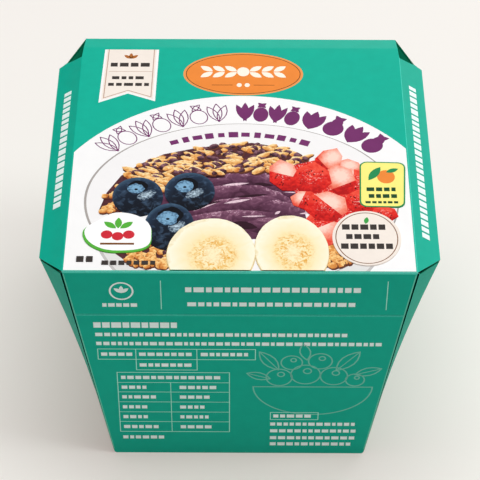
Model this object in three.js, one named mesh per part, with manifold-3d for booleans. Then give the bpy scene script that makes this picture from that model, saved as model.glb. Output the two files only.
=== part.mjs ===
// A shut folding carton for a frozen fruit and cereal bowl, in millimetres, +Z up.
// One board is folded and glued into a pack that is wide at the top and narrow at the foot.
// Its top panel is flat, with a short strip that dips at the back and a sloping flap along each side.
// The front panel hangs over the two corner webs, so its side edges stand free of them.
// The origin is on the floor, below the middle of the pack's bounding box, and the front faces -Y.

import * as THREE from 'three';
import { mergeVertices } from 'three/addons/utils/BufferGeometryUtils.js';
import Module from 'manifold-3d';

// Overall size
const HEIGHT = 95;
const DEPTH = 124;

// Top panel, between its folds
const TOP_HALF_WIDTH = 57;
const STRIP_RUN = 6.6;
const STRIP_DROP = 1.1;
const BACK_EDGE_HALF_WIDTH = 56.2;

// Side flaps: how far they reach out and down, and how far their ends stop short of the pack's ends
const FLAP_REACH = 8.4;
const FLAP_DROP = 5.5;
const FLAP_FRONT_SETBACK = 12;
const FLAP_BACK_SETBACK = 12.2;

// Foot of the pack
const FOOT_HALF_WIDTH = 43.8;
const FOOT_SETBACK = 7.2;
const WALL_FOOT_HALF_WIDTH = 46.5;
const WALL_FOOT_HALF_DEPTH = 44.5;
const WALL_BOW = 1.5;
const FOOT_FOLD = 0.6;
const FOOT_CORNER_CUT = 1.0;

// Board, and the gap between a free edge and the board behind it
const BOARD = 0.45;
const GAP = 0.35;
const FREE_EDGE = 2.6;

// Crease pressed into the front panel, measured down the panel from its top fold
const CREASE_DISTANCE = 21.3;
const CREASE_WIDTH = 0.6;
const CREASE_DEPTH = 0.14;

// Tucked gusset at each back corner
const GUSSET_INSET = 4;
const GUSSET_REACH = 3;
const GUSSET_DEPTH = 15;
const GUSSET_STEP = 2.2;
const GUSSET_SHARE = 0.15;

// How finely the bowed side walls are cut, and how far a cutter runs past the board
const WALL_STEPS = 10;
const CLEARANCE = 20;
const CUT_SCALE = 1.4;
const GAP_START = 0.05;

const FRONT_Y = -DEPTH / 2;
const BACK_Y = DEPTH / 2;
const RIDGE_HALF_WIDTH = TOP_HALF_WIDTH + FLAP_REACH;
const RIDGE_HEIGHT = HEIGHT - FLAP_DROP;

const wasm = await Module();
wasm.setup();

const at = (x, y, z) => new THREE.Vector3(x, y, z);
const between = (a, b, t) => new THREE.Vector3().lerpVectors(a, b, t);
const mirrored = (point) => at(-point.x, point.y, point.z);

// The named corners of the right half. The left half mirrors them.
const topFront = at(TOP_HALF_WIDTH, FRONT_Y, HEIGHT);
const topBack = at(TOP_HALF_WIDTH, BACK_Y - FLAP_BACK_SETBACK, HEIGHT);
const backEdge = at(BACK_EDGE_HALF_WIDTH, BACK_Y, HEIGHT - STRIP_DROP);
const stripShare = (FLAP_BACK_SETBACK - STRIP_RUN) / FLAP_BACK_SETBACK;
const stripFold = at(between(topBack, backEdge, stripShare).x, BACK_Y - STRIP_RUN, HEIGHT);
const ridgeFront = at(RIDGE_HALF_WIDTH, FRONT_Y + FLAP_FRONT_SETBACK, RIDGE_HEIGHT);
const ridgeBack = at(RIDGE_HALF_WIDTH, BACK_Y - FLAP_BACK_SETBACK, RIDGE_HEIGHT);
const footFront = at(FOOT_HALF_WIDTH, FRONT_Y + FOOT_SETBACK, 0);
const footBack = at(FOOT_HALF_WIDTH, BACK_Y - FOOT_SETBACK, 0);
const wallFootFront = at(WALL_FOOT_HALF_WIDTH, -WALL_FOOT_HALF_DEPTH, 0);
const wallFootBack = at(WALL_FOOT_HALF_WIDTH, WALL_FOOT_HALF_DEPTH, 0);

// A closed solid from its corners and its faces, each face listed counter-clockwise seen from outside
function solidFromFaces(points, faces) {
  const triangles = [];
  for (const face of faces) {
    for (let i = 1; i < face.length - 1; i += 1) {
      triangles.push(face[0], face[i], face[i + 1]);
    }
  }
  const geometry = new THREE.BufferGeometry();
  const places = points.flatMap((point) => point.toArray());
  geometry.setAttribute('position', new THREE.Float32BufferAttribute(places, 3));
  geometry.setIndex(triangles);
  const merged = mergeVertices(geometry, 1e-4);
  return new wasm.Manifold(new wasm.Mesh({
    numProp: 3,
    vertProperties: new Float32Array(merged.attributes.position.array),
    triVerts: new Uint32Array(merged.index.array),
  }));
}

function outwardNormal(outline) {
  const a = new THREE.Vector3().subVectors(outline[1], outline[0]);
  const b = new THREE.Vector3().subVectors(outline[2], outline[1]);
  return a.cross(b).normalize();
}

// A slab between two heights over a flat outline that runs counter-clockwise seen from outside
function slab(outline, low, high, normal = outwardNormal(outline)) {
  const count = outline.length;
  const bottom = outline.map((p) => p.clone().addScaledVector(normal, low));
  const top = outline.map((p) => p.clone().addScaledVector(normal, high));
  const faces = [
    outline.map((_, i) => count - 1 - i),
    outline.map((_, i) => count + i),
  ];
  for (let i = 0; i < count; i += 1) {
    const next = (i + 1) % count;
    faces.push([i, next, count + next, count + i]);
  }
  return solidFromFaces([...bottom, ...top], faces);
}

// The pack's outline at one share of its height, from the front left corner round to the left crease
function ringAt(share) {
  const bow = WALL_BOW * 4 * share * (1 - share);
  const frontCorner = between(footFront, topFront, share);
  const frontCrease = between(wallFootFront, ridgeFront, share);
  const backCrease = between(wallFootBack, ridgeBack, share);
  const backCorner = between(footBack, backEdge, share);
  frontCrease.x -= bow;
  backCrease.x -= bow;
  const right = [frontCorner, frontCrease, backCrease, backCorner];
  const left = [backCorner, backCrease, frontCrease].map(mirrored);
  return [mirrored(frontCorner), ...right, ...left];
}

// The foot's outline pulled in where the board folds under, with the front and back corners cut back
function footRing() {
  const inner = 1 - FOOT_FOLD / FOOT_HALF_WIDTH;
  return ringAt(0).map((point) => {
    const isEndCorner = Math.abs(point.y) > WALL_FOOT_HALF_DEPTH;
    const pull = isEndCorner ? FOOT_CORNER_CUT : 0;
    return at(point.x * inner - Math.sign(point.x) * pull, point.y * inner, 0);
  });
}

// The whole pack before its free edges are cut: walls round a stack of rings, closed by foot and top
function makeEnvelope() {
  const shares = [FOOT_FOLD / HEIGHT];
  for (let i = 1; i <= WALL_STEPS; i += 1) {
    shares.push(i / WALL_STEPS);
  }
  const rings = [footRing(), ...shares.map(ringAt)];
  const size = rings[0].length;
  const points = rings.flat();
  const faces = [rings[0].map((_, i) => size - 1 - i)];
  for (let level = 0; level < rings.length - 1; level += 1) {
    for (let i = 0; i < size; i += 1) {
      const next = (i + 1) % size;
      const low = level * size;
      const face = [low + i, low + next, low + size + next, low + size + i];
      const isLeft = i > size / 2;
      faces.push(isLeft ? [...face.slice(1), face[0]] : face);
    }
  }
  const top = (rings.length - 1) * size;
  const [frontLeft, frontRight, ridgeRF, ridgeRB, backRight, backLeft, ridgeLB, ridgeLF] =
    rings[0].map((_, i) => top + i);
  const first = points.length;
  points.push(topBack, stripFold, mirrored(stripFold), mirrored(topBack));
  const [endRight, foldRight, foldLeft, endLeft] = [first, first + 1, first + 2, first + 3];
  faces.push(
    [frontLeft, frontRight, endRight, foldRight, foldLeft, endLeft],
    [foldLeft, foldRight, backRight, backLeft],
    [frontRight, ridgeRF, ridgeRB, endRight],
    [frontLeft, endLeft, ridgeLB, ridgeLF],
    [endRight, ridgeRB, backRight, foldRight],
    [endLeft, foldLeft, backLeft, ridgeLB],
  );
  return solidFromFaces(points, faces);
}

// Outlines of the flat boards, for one side of the pack: side is 1 on the right and -1 on the left
const onSide = (side, outline) => (side > 0 ? outline : outline.map(mirrored).reverse());
const topOutline = [
  mirrored(topFront),
  topFront,
  topBack,
  stripFold,
  mirrored(stripFold),
  mirrored(topBack),
];
const stripOutline = [mirrored(stripFold), stripFold, backEdge, mirrored(backEdge)];
const flapOutline = (side) => onSide(side, [topFront, ridgeFront, ridgeBack, topBack]);
const frontOutline = [mirrored(footFront), footFront, topFront, mirrored(topFront)];

// Everything below the inner face of a flat board, however far that board's plane reaches
function underBoard(outline) {
  const normal = outwardNormal(outline);
  const along = new THREE.Vector3().subVectors(outline[1], outline[0]).setLength(DEPTH);
  const across = new THREE.Vector3().crossVectors(normal, along);
  const corners = [[-1, -1], [1, -1], [1, 1], [-1, 1]].map(([a, b]) => (
    outline[0].clone().addScaledVector(along, a).addScaledVector(across, b)
  ));
  return slab(corners, -DEPTH, -BOARD, normal);
}

// The dark gap behind a free edge: a thin slot that runs a little way in under the board
function edgeGap(side, outline, start, end) {
  const normal = outwardNormal(outline);
  const along = new THREE.Vector3().subVectors(end, start).normalize();
  const across = new THREE.Vector3().crossVectors(normal, along).multiplyScalar(FREE_EDGE);
  const corners = [
    start.clone().sub(across),
    end.clone().sub(across),
    end.clone().add(across),
    start.clone().add(across),
  ];
  return slab(onSide(side, corners), -BOARD - GAP, -BOARD);
}

// The gap beside the front panel, from just above the foot up to the top fold
function frontGap(side) {
  const lowEnd = between(footFront, topFront, GAP_START);
  return edgeGap(side, frontOutline, lowEnd, topFront)
    .intersect(underBoard(topOutline))
    .intersect(underBoard(flapOutline(side)));
}

// The gap between a flap's slanting front end and the top edge of the web below it
function flapGap(side) {
  const lowEnd = between(ridgeFront, topFront, GAP_START);
  return edgeGap(side, flapOutline(1), lowEnd, topFront)
    .intersect(underBoard(topOutline))
    .intersect(underBoard(frontOutline));
}

// The open corner behind each flap, down to the gusset that is folded in under it
function backNotch(side) {
  const drop = new THREE.Vector3().subVectors(wallFootBack, ridgeBack).setLength(GUSSET_STEP);
  const webTop = between(ridgeBack, backEdge, GUSSET_SHARE).add(drop);
  const valley = at(TOP_HALF_WIDTH - GUSSET_INSET, topBack.y - GUSSET_REACH, HEIGHT - GUSSET_DEPTH);
  const floor = new THREE.Plane().setFromCoplanarPoints(valley, webTop, backEdge);
  const onFloor = (x, y) => {
    const rise = floor.normal.x * x + floor.normal.y * y + floor.constant;
    return at(x, y, -rise / floor.normal.z);
  };
  const gusset = [
    valley,
    onFloor(RIDGE_HALF_WIDTH - 2 * BOARD, topBack.y),
    onFloor(RIDGE_HALF_WIDTH + GUSSET_REACH, topBack.y + GUSSET_REACH),
    between(valley, backEdge, CUT_SCALE),
  ];
  const up = at(0, 0, 1);
  const aboveGusset = slab(onSide(side, gusset), 0, CLEARANCE, up);
  const behindFlap = [
    topBack,
    at(RIDGE_HALF_WIDTH + CLEARANCE, topBack.y, HEIGHT),
    at(RIDGE_HALF_WIDTH + CLEARANCE, BACK_Y + CLEARANCE, HEIGHT),
    between(topBack, backEdge, 1 + CUT_SCALE),
  ];
  const open = slab(onSide(side, behindFlap), -CLEARANCE, CLEARANCE, up);
  const hidden = underBoard(topOutline)
    .intersect(underBoard(stripOutline))
    .intersect(underBoard(flapOutline(side)));
  return aboveGusset.intersect(open.add(hidden));
}

// The shallow groove where the front panel is creased from edge to edge
function frontCrease() {
  const normal = outwardNormal(frontOutline);
  const length = topFront.distanceTo(footFront);
  const high = (CREASE_DISTANCE - CREASE_WIDTH / 2) / length;
  const low = (CREASE_DISTANCE + CREASE_WIDTH / 2) / length;
  const right = [between(topFront, footFront, low), between(topFront, footFront, high)];
  for (const end of right) {
    end.x += FREE_EDGE;
  }
  const outline = [mirrored(right[0]), right[0], right[1], mirrored(right[1])];
  return slab(outline, -CREASE_DEPTH, CREASE_DEPTH, normal);
}

function makeCarton() {
  let carton = makeEnvelope();
  for (const side of [1, -1]) {
    carton = carton.subtract(backNotch(side)).subtract(frontGap(side)).subtract(flapGap(side));
  }
  return carton.subtract(frontCrease());
}

function toGeometry(solid) {
  const mesh = solid.getMesh();
  const geometry = new THREE.BufferGeometry();
  geometry.setAttribute('position', new THREE.Float32BufferAttribute(mesh.vertProperties, 3));
  geometry.setIndex(new THREE.Uint32BufferAttribute(mesh.triVerts, 1));
  geometry.computeVertexNormals();
  return geometry;
}

const printedBoard = new THREE.MeshStandardMaterial({ color: 0x1fa68c, roughness: 0.45, metalness: 0 });
const carton = new THREE.Mesh(toGeometry(makeCarton()), printedBoard);
carton.name = 'carton';

const pack = new THREE.Group();
pack.add(carton);

export default pack;
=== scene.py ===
# %% [markdown]
# A shut folding carton for a frozen fruit and cereal bowl. The real pack is one sheet of board, printed flat
# and then cut, creased and folded. Here the folded board comes first, as one thin sheet, and then every
# printed field, as a very thin layer of ink on the panel that carries it, so the shape is right before any
# print lies on it. The CAD model gives the frame: its box sets the height, the width over the flaps and the
# depth, and only the ink stands past it, by half a millimetre at most.

# %% Load the frame
import math
import random

import bmesh
import bpy
from mathutils import Matrix, Vector
from mathutils.geometry import tessellate_polygon


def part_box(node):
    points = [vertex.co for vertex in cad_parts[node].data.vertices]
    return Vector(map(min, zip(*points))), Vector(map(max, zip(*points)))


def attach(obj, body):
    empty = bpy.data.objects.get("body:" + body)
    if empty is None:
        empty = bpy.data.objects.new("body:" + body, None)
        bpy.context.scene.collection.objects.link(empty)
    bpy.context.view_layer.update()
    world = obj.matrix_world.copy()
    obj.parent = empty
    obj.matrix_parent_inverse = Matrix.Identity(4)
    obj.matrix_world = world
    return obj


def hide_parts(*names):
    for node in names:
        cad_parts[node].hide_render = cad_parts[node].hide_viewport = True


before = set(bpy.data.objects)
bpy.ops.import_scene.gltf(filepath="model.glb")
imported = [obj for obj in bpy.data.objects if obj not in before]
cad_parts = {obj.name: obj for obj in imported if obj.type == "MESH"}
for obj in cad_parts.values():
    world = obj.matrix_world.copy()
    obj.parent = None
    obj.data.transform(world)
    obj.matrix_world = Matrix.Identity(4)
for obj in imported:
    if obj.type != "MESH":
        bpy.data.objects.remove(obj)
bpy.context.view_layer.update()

MM = 0.001
low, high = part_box("carton")
HEIGHT = high.z
FRONT = low.y
BACK = high.y
RIDGE_HALF = high.x
print(f"carton: {RIDGE_HALF * 2 / MM:.1f} wide, {(BACK - FRONT) / MM:.1f} deep,",
      f"{HEIGHT / MM:.1f} high, in mm")

# %% [markdown]
# The camera stands in front of the pack and looks down on it by 42.6 degrees through a long lens, so the
# walls fall away under the top panel. It could be aimed with a constraint, but a fixed place and turn keeps
# the picture's frame exact. The small last turn is the slight tilt of the picture.

# %% Camera
CAMERA_PLACE = Vector((0.05, -549.5, 557.3)) * MM
CAMERA_PITCH = math.radians(90 - 42.617)
CAMERA_ROLL = math.radians(0.245)
LENS_IN_FRAMES = 4.375
camera_data = bpy.data.cameras.new("camera")
camera_data.sensor_width = 36
camera_data.lens = camera_data.sensor_width * LENS_IN_FRAMES
camera_data.clip_start = 10 * MM
camera_data.clip_end = 10
camera = bpy.data.objects.new("camera", camera_data)
turn = Matrix.Rotation(CAMERA_PITCH, 4, "X") @ Matrix.Rotation(CAMERA_ROLL, 4, "Z")
camera.matrix_world = Matrix.Translation(CAMERA_PLACE) @ turn
bpy.context.collection.objects.link(camera)
bpy.context.scene.camera = camera
bpy.context.scene.view_settings.view_transform = "Standard"
print("camera:", camera_data.lens, "mm lens on a sensor", camera_data.sensor_width, "mm wide")

# %% [markdown]
# Printed board is ink and a satin varnish over paper. Every finish here is one Principled shader whose
# colour drifts a little, as ink does, and whose bump has two scales: the fine tooth of the paper, and the
# slow unevenness of a sheet that has been glued and frozen. One function makes them all, so that ink and
# board catch the light alike.

# %% Helpers for finishes
TOOTH_SIZE = 0.35 * MM
WAVE_SIZE = 22 * MM
TOOTH_STRENGTH = 0.05
WAVE_STRENGTH = 0.10


def srgb(red, green, blue):
    """A colour as a screen shows it, 0 to 255, turned into the linear numbers that a shader takes."""
    def linear(value):
        share = value / 255
        return share / 12.92 if share <= 0.04045 else ((share + 0.055) / 1.055) ** 2.4
    return (linear(red), linear(green), linear(blue), 1)


def new_material(name, roughness=0.45, specular=0.05):
    """A material with its nodes, its links and its Principled shader."""
    material = bpy.data.materials.new(name)
    material.use_nodes = True
    nodes = material.node_tree.nodes
    shader = nodes["Principled BSDF"]
    shader.inputs["Roughness"].default_value = roughness
    shader.inputs["Specular IOR Level"].default_value = specular
    return material, nodes, material.node_tree.links, shader


def noise(nodes, links, source, size, detail=2.0, distortion=0.0):
    """A noise whose lumps are about as large as size, in metres, when source is in metres."""
    texture = nodes.new("ShaderNodeTexNoise")
    texture.inputs["Scale"].default_value = 1 / size
    texture.inputs["Detail"].default_value = detail
    texture.inputs["Distortion"].default_value = distortion
    links.new(source, texture.inputs["Vector"])
    return texture.outputs["Fac"]


def add_paper_relief(nodes, links, shader):
    """The paper's tooth and the board's slow waves, as bump on Object coordinates."""
    place = nodes.new("ShaderNodeTexCoord").outputs["Object"]
    fine = nodes.new("ShaderNodeBump")
    fine.inputs["Strength"].default_value = TOOTH_STRENGTH
    fine.inputs["Distance"].default_value = 0.05 * MM
    links.new(noise(nodes, links, place, TOOTH_SIZE, 3), fine.inputs["Height"])
    slow = nodes.new("ShaderNodeBump")
    slow.inputs["Strength"].default_value = WAVE_STRENGTH
    slow.inputs["Distance"].default_value = 2 * MM
    links.new(noise(nodes, links, place, WAVE_SIZE, 1), slow.inputs["Height"])
    links.new(fine.outputs["Normal"], slow.inputs["Normal"])
    links.new(slow.outputs["Normal"], shader.inputs["Normal"])
    return place


def ramp(nodes, links, factor, stops):
    """A colour ramp from a list of (place, colour)."""
    node = nodes.new("ShaderNodeValToRGB")
    elements = node.color_ramp.elements
    elements[0].position, elements[0].color = stops[0]
    elements[1].position, elements[1].color = stops[-1]
    for place, colour in stops[1:-1]:
        element = elements.new(place)
        element.color = colour
    links.new(factor, node.inputs["Fac"])
    return node.outputs["Color"]


def ink(name, colour, drift=0.06, drift_size=4 * MM, roughness=0.45):
    """Flat ink: one colour that drifts a little lighter and darker."""
    material, nodes, links, shader = new_material(name, roughness)
    place = add_paper_relief(nodes, links, shader)
    dark = tuple(c * (1 - drift) for c in colour[:3]) + (1,)
    light = tuple(min(1, c * (1 + drift)) for c in colour[:3]) + (1,)
    cloud = noise(nodes, links, place, drift_size, 3)
    links.new(ramp(nodes, links, cloud, [(0.3, dark), (0.7, light)]), shader.inputs["Base Color"])
    return material

# %% [markdown]
# The board is one green outside, but not the same green everywhere. Along a fold the ink is stretched and
# rubbed pale, and that pale green is also painted highlight. The webs beside the front panel get a duller
# green whose darkness is painted shade, the narrow gaps a near black and the notches a dark green, both
# painted shade too. Inside, the board is bare and grey, and a cut edge shows pale paper. Each of these is a
# material of its own, given to the faces that have it, so no image has to be painted and fitted to the
# folds.

# %% The board's finishes, with painted highlight and painted shade
GREEN = srgb(12, 175, 150)
# Pale green for the folds: rubbed ink, and painted highlight where a rounded fold catches the light.
PALE_GREEN = srgb(84, 222, 200)
BARE_GREY = srgb(188, 180, 164)
green_ink = ink("green_printed_board", GREEN, drift=0.03)
crease_wear_and_highlight_ink = ink("creased_green_wear_and_highlight_ink", PALE_GREEN, drift=0.08, drift_size=0.6 * MM)
inner_board = ink("unprinted_grey_board", BARE_GREY, drift=0.08, drift_size=1.2 * MM, roughness=0.8)
cut_edge = ink("pale_cut_edge", srgb(150, 214, 196), drift=0.15, drift_size=0.5 * MM, roughness=0.8)
# Painted shade: the dark green of the gusset, the notches and the flaps' front ends.
painted_shade_ink = ink("painted_shade_green_ink", srgb(4, 116, 84), drift=0.05)
# Painted shade: the near black in the gap beside the front panel.
gap_painted_shade_ink = ink("painted_gap_shade_green_ink", srgb(0, 52, 38), drift=0.05)
# Painted shade: the webs' darker green, with a rougher, duller finish.
web_painted_shade_ink = ink("dull_web_green_painted_shade_ink", srgb(10, 166, 141), drift=0.07, drift_size=1.5 * MM, roughness=0.55)
white_ink = ink("white_ink", srgb(247, 246, 246), drift=0.01)
print("board finishes:", green_ink.name, crease_wear_and_highlight_ink.name, inner_board.name, cut_edge.name)

# %% [markdown]
# The carton could be cut out of a block, but then its free edges would be painted, not real. A folded sheet
# gives them for nothing: the front panel stands clear of the two corner webs, the flaps end short at both
# ends, and a gusset is tucked in behind each flap. Half of the sheet is laid out from its corners, the walls
# are cut into rows and bowed, and a mirror makes the other half.

# %% Corners of the folded board
TOP_HALF = 57 * MM
STRIP_RUN = 6.6 * MM
STRIP_DROP = 1.1 * MM
BACK_EDGE_HALF = 56.2 * MM
FLAP_DROP = 5.5 * MM
FLAP_FRONT_SETBACK = 12 * MM
FLAP_BACK_SETBACK = 12.2 * MM
FLAP_CORNER_SHARE = 0.68
FLAP_CORNER_REACH = 0.9 * MM
FOOT_HALF = 43.8 * MM
FOOT_SETBACK = 7.2 * MM
WALL_FOOT_HALF = 46.5 * MM
WALL_FOOT_END = 44.5 * MM

strip_share = (FLAP_BACK_SETBACK - STRIP_RUN) / FLAP_BACK_SETBACK
strip_half = TOP_HALF + (BACK_EDGE_HALF - TOP_HALF) * strip_share
top_front = Vector((TOP_HALF, FRONT, HEIGHT))
top_back = Vector((TOP_HALF, BACK - FLAP_BACK_SETBACK, HEIGHT))
strip_fold = Vector((strip_half, BACK - STRIP_RUN, HEIGHT))
back_edge = Vector((BACK_EDGE_HALF, BACK, HEIGHT - STRIP_DROP))
ridge_front = Vector((RIDGE_HALF, FRONT + FLAP_FRONT_SETBACK, HEIGHT - FLAP_DROP))
ridge_back = Vector((RIDGE_HALF, BACK - FLAP_BACK_SETBACK, HEIGHT - FLAP_DROP))
flap_corner = top_back.lerp(ridge_back, FLAP_CORNER_SHARE) + Vector((0, FLAP_CORNER_REACH, 0))
foot_front = Vector((FOOT_HALF, FRONT + FOOT_SETBACK, 0))
foot_back = Vector((FOOT_HALF, BACK - FOOT_SETBACK, 0))
wall_front = Vector((WALL_FOOT_HALF, -WALL_FOOT_END, 0))
wall_back = Vector((WALL_FOOT_HALF, WALL_FOOT_END, 0))
print(f"front panel is {(top_front - foot_front).length / MM:.1f} mm long down its slope")

# %% [markdown]
# Behind each side edge of the front panel stands a web, which turns back to the side wall. It is set back a
# little, so a narrow gap is left beside the panel, dark and widest at the top and nearly closed at the foot.
# The web is laid out from its place behind the panel, with a narrow strip that turns in to the gap and a tab
# behind the panel for the glue. That strip is given a near black of painted shade, as the gap alone is not
# that dark. A painted line would show the gap too, but only from the front.

# %% Corners of the webs, the gap and the glue tab
WEB_BEHIND = 0.9 * MM
WEB_TOP_DROP = 2.1 * MM
GAP_WIDTH = 1.05 * MM
GAP_FOOT = 0.2 * MM
GAP_DEPTH = 2.2 * MM
GLUE_TAB = 8 * MM
front_top = Vector((0, FRONT, HEIGHT))
slope = (front_top - Vector((0, foot_front.y, 0))).normalized()
front_out = Vector((1, 0, 0)).cross(slope)
front_up = (top_front - foot_front).normalized()
web_foot = foot_front + Vector((GAP_FOOT, WEB_BEHIND, 0))
web_top = top_front - front_out * WEB_BEHIND - front_up * WEB_TOP_DROP + Vector((GAP_WIDTH, 0, 0))
gap_foot = web_foot + Vector((-GAP_DEPTH, GAP_DEPTH, 0))
gap_top = web_top + Vector((-GAP_DEPTH, GAP_DEPTH, 0))
tab_foot = gap_foot - Vector((GLUE_TAB, 0, 0))
tab_top = gap_top - Vector((GLUE_TAB, 0, GLUE_TAB / 4))
print("webs stand", round(WEB_BEHIND / MM, 2), "mm behind the front panel")

# %% [markdown]
# Behind each flap the pack has an open notch, and the board below it is folded inwards to a pocket, the
# gusset. Its front leaf shows in the picture as a dark green triangle, which lies in shade and is given a
# dark green of painted shade. It starts a little below the ridge, and its valley lies further in, further
# forward and well below the top.

# %% Corners of the gusset
GUSSET_DROP = 1.3 * MM
VALLEY_IN = 4 * MM
VALLEY_FORWARD = 3 * MM
VALLEY_DOWN = 15 * MM
gusset_corner = ridge_back + (wall_back - ridge_back).normalized() * GUSSET_DROP
gusset_valley = Vector((TOP_HALF - VALLEY_IN, top_back.y - VALLEY_FORWARD, HEIGHT - VALLEY_DOWN))
print("gusset valley, in mm:", [round(value / MM, 1) for value in gusset_valley])

# %% [markdown]
# Each panel is one flat face, given by its corners. Panels that share an edge are merged there, so that a
# fold is a real edge of the sheet. The webs, the wall and the back are cut into rows, and the wall's two
# upright edges are drawn inwards by a parabola, because a lightly filled carton hollows there. A lattice
# would bend the wall as well, but it would also move the panels beside it.

# %% Helpers that lay out panels
NEAR = 0.01 * MM
GREEN_SLOT, CREASE_SLOT, WEB_SLOT, GUSSET_SLOT, GAP_SLOT, WHITE_SLOT = range(6)
BACK_WEB, FRONT_WEB = 6, 7


def on_middle(point):
    """The same point moved to the pack's middle plane."""
    return Vector((0, point.y, point.z))


def add_panel(bm, *corners):
    """One flat panel, its corners counter-clockwise seen from outside."""
    return bm.faces.new([bm.verts.new(corner) for corner in corners])


def merge(bm):
    """Joins the panels where their corners meet."""
    bmesh.ops.remove_doubles(bm, verts=bm.verts, dist=NEAR)

# %% Walls, webs and back
WALL_ROWS = 10
WALL_BOW = 1.5 * MM
bm = bmesh.new()
add_panel(bm, tab_foot, gap_foot, gap_top, tab_top)
# The strip in the gap takes painted shade, near black.
shaded_strip = add_panel(bm, gap_foot, web_foot, web_top, gap_top)
shaded_strip.material_index = GAP_SLOT
front_web = add_panel(bm, web_foot, wall_front, ridge_front, web_top)
front_web.material_index = FRONT_WEB
add_panel(bm, wall_front, wall_back, ridge_back, ridge_front)
back_web = add_panel(bm, wall_back, foot_back, back_edge, ridge_back)
back_web.material_index = BACK_WEB
add_panel(bm, foot_back, on_middle(foot_back), on_middle(back_edge), back_edge)
merge(bm)

upright = [edge for edge in bm.edges if abs(edge.verts[0].co.z - edge.verts[1].co.z) > HEIGHT / 2]
bmesh.ops.subdivide_edges(bm, edges=upright, cuts=WALL_ROWS - 1, use_grid_fill=True)
for foot, top in ((wall_front, ridge_front), (wall_back, ridge_back)):
    line = (top - foot).normalized()
    for vert in bm.verts:
        along = (vert.co - foot).dot(line)
        share = along / (top - foot).length
        if (foot + line * along - vert.co).length < NEAR:
            vert.co.x -= WALL_BOW * 4 * share * (1 - share)
print("webs, wall and back:", len(bm.faces), "faces, bowed by", round(WALL_BOW / MM, 2), "mm")

# %% [markdown]
# The front web is cut off in a slanting line a little below the flap, so that the flap's edge stands over it
# as a lip, and the back web is cut off along the gusset. On the pack a knife does this before the folding.
# Here a plane cuts the web and what lies above the plane is taken away, which keeps the rows of the wall.

# %% Cut the webs off below the flaps
LIP_DROP = 1.15 * MM


def cut_web(bm, slot, start, end, ink_slot):
    """Cuts a web along a line, takes away what is above it and gives the rest its ink."""
    faces = [face for face in bm.faces if face.material_index == slot]
    parts = faces + list({edge for face in faces for edge in face.edges})
    parts += list({vert for face in faces for vert in face.verts})
    across = faces[0].normal.cross(end - start).normalized()
    if across.z < 0:
        across.negate()
    bmesh.ops.bisect_plane(bm, geom=parts, dist=NEAR, plane_co=start, plane_no=across)
    faces = [face for face in bm.faces if face.material_index == slot]
    above = [face for face in faces if (face.calc_center_median() - start).dot(across) > NEAR]
    bmesh.ops.delete(bm, geom=above, context="FACES")
    for face in set(faces).difference(above):
        face.material_index = ink_slot
    print("web cut:", len(above), "faces taken away")
    return across


bmesh.ops.recalc_face_normals(bm, faces=bm.faces)
lip_end = ridge_front + (wall_front - ridge_front).normalized() * LIP_DROP
# What stays of the front web takes the darker green of painted shade.
cut_web(bm, FRONT_WEB, lip_end, web_top, WEB_SLOT)
cut_normal = cut_web(bm, BACK_WEB, back_edge, gusset_corner, GREEN_SLOT)

# %% [markdown]
# The gusset's front leaf is one triangle in the dark green of painted shade. It starts at the outermost
# corner of the cut that was just made, because the bow has moved that corner a little, and runs to the back
# edge and down to the valley.

# %% The gusset that is tucked in below each flap's back end
CORNER_REACH = 5 * MM
on_cut = [vert for vert in bm.verts if abs((vert.co - back_edge).dot(cut_normal)) < NEAR]
near_corner = [vert for vert in on_cut if vert.co.y > top_back.y - CORNER_REACH]
crease_end = max(near_corner, key=lambda vert: vert.co.x).co.copy()
gusset = add_panel(bm, crease_end, back_edge, gusset_valley)
# The gusset's front leaf takes painted shade.
gusset.material_index = GUSSET_SLOT
print("gusset starts", round((ridge_back - crease_end).length / MM, 2), "mm below the ridge")

# %% [markdown]
# The top is flat, the strip behind it dips to the back edge, and each side flap slopes down to its ridge. A
# flap sags a little between its fold and its ridge, so it is cut into rows, and each cut line is let in by a
# parabola. One flat face would catch the light as evenly as glass, which board doesn't.

# %% Top, strip and flap

FLAP_ROWS = 6
FLAP_SAG = 0.14 * MM
add_panel(bm, on_middle(top_front), top_front, top_back, strip_fold, on_middle(strip_fold))
add_panel(bm, on_middle(strip_fold), strip_fold, back_edge, on_middle(back_edge))
flap = add_panel(bm, top_front, ridge_front, ridge_back, flap_corner, top_back)
flap.normal_update()
flap_inward = -flap.normal
flap_width = Vector((RIDGE_HALF - TOP_HALF, 0, -FLAP_DROP))
for row in range(1, FLAP_ROWS):
    share = row / FLAP_ROWS
    flap_parts = [flap] + flap.edges[:] + flap.verts[:]
    cut = bmesh.ops.bisect_plane(bm, geom=flap_parts, dist=NEAR, plane_no=flap_width.normalized(),
                                 plane_co=top_front + flap_width * share)
    sagging = [item for item in cut["geom_cut"] if isinstance(item, bmesh.types.BMVert)]
    parts = [item for item in cut["geom"] if isinstance(item, bmesh.types.BMFace)]
    flap = max(parts, key=lambda face: face.calc_center_median().x)
    bmesh.ops.translate(bm, verts=sagging, vec=flap_inward * FLAP_SAG * 4 * share * (1 - share))
print("flap:", FLAP_ROWS, "rows, sagging by", round(FLAP_SAG / MM, 2), "mm")

# %% [markdown]
# The front panel is one flat face whose lower corner is cut round, and the foot closes the pack from below.
# Then the half is mirrored, and the line down its middle is taken out again, because no fold is there.

# %% Front and foot
FOOT_CORNER = 1.1 * MM
foot_end = foot_front - Vector((FOOT_CORNER, 0, 0))
front = add_panel(bm, on_middle(foot_front), foot_front, top_front, on_middle(top_front))
bmesh.ops.bevel(bm, geom=[front.verts[1]], offset=FOOT_CORNER, segments=4, profile=0.5, material=-1,
                affect="VERTICES")
add_panel(bm, on_middle(foot_back), foot_back, wall_back, wall_front, web_foot, gap_foot, foot_end,
          on_middle(foot_front))
merge(bm)
print("half of the sheet:", len(bm.faces), "faces")

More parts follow.
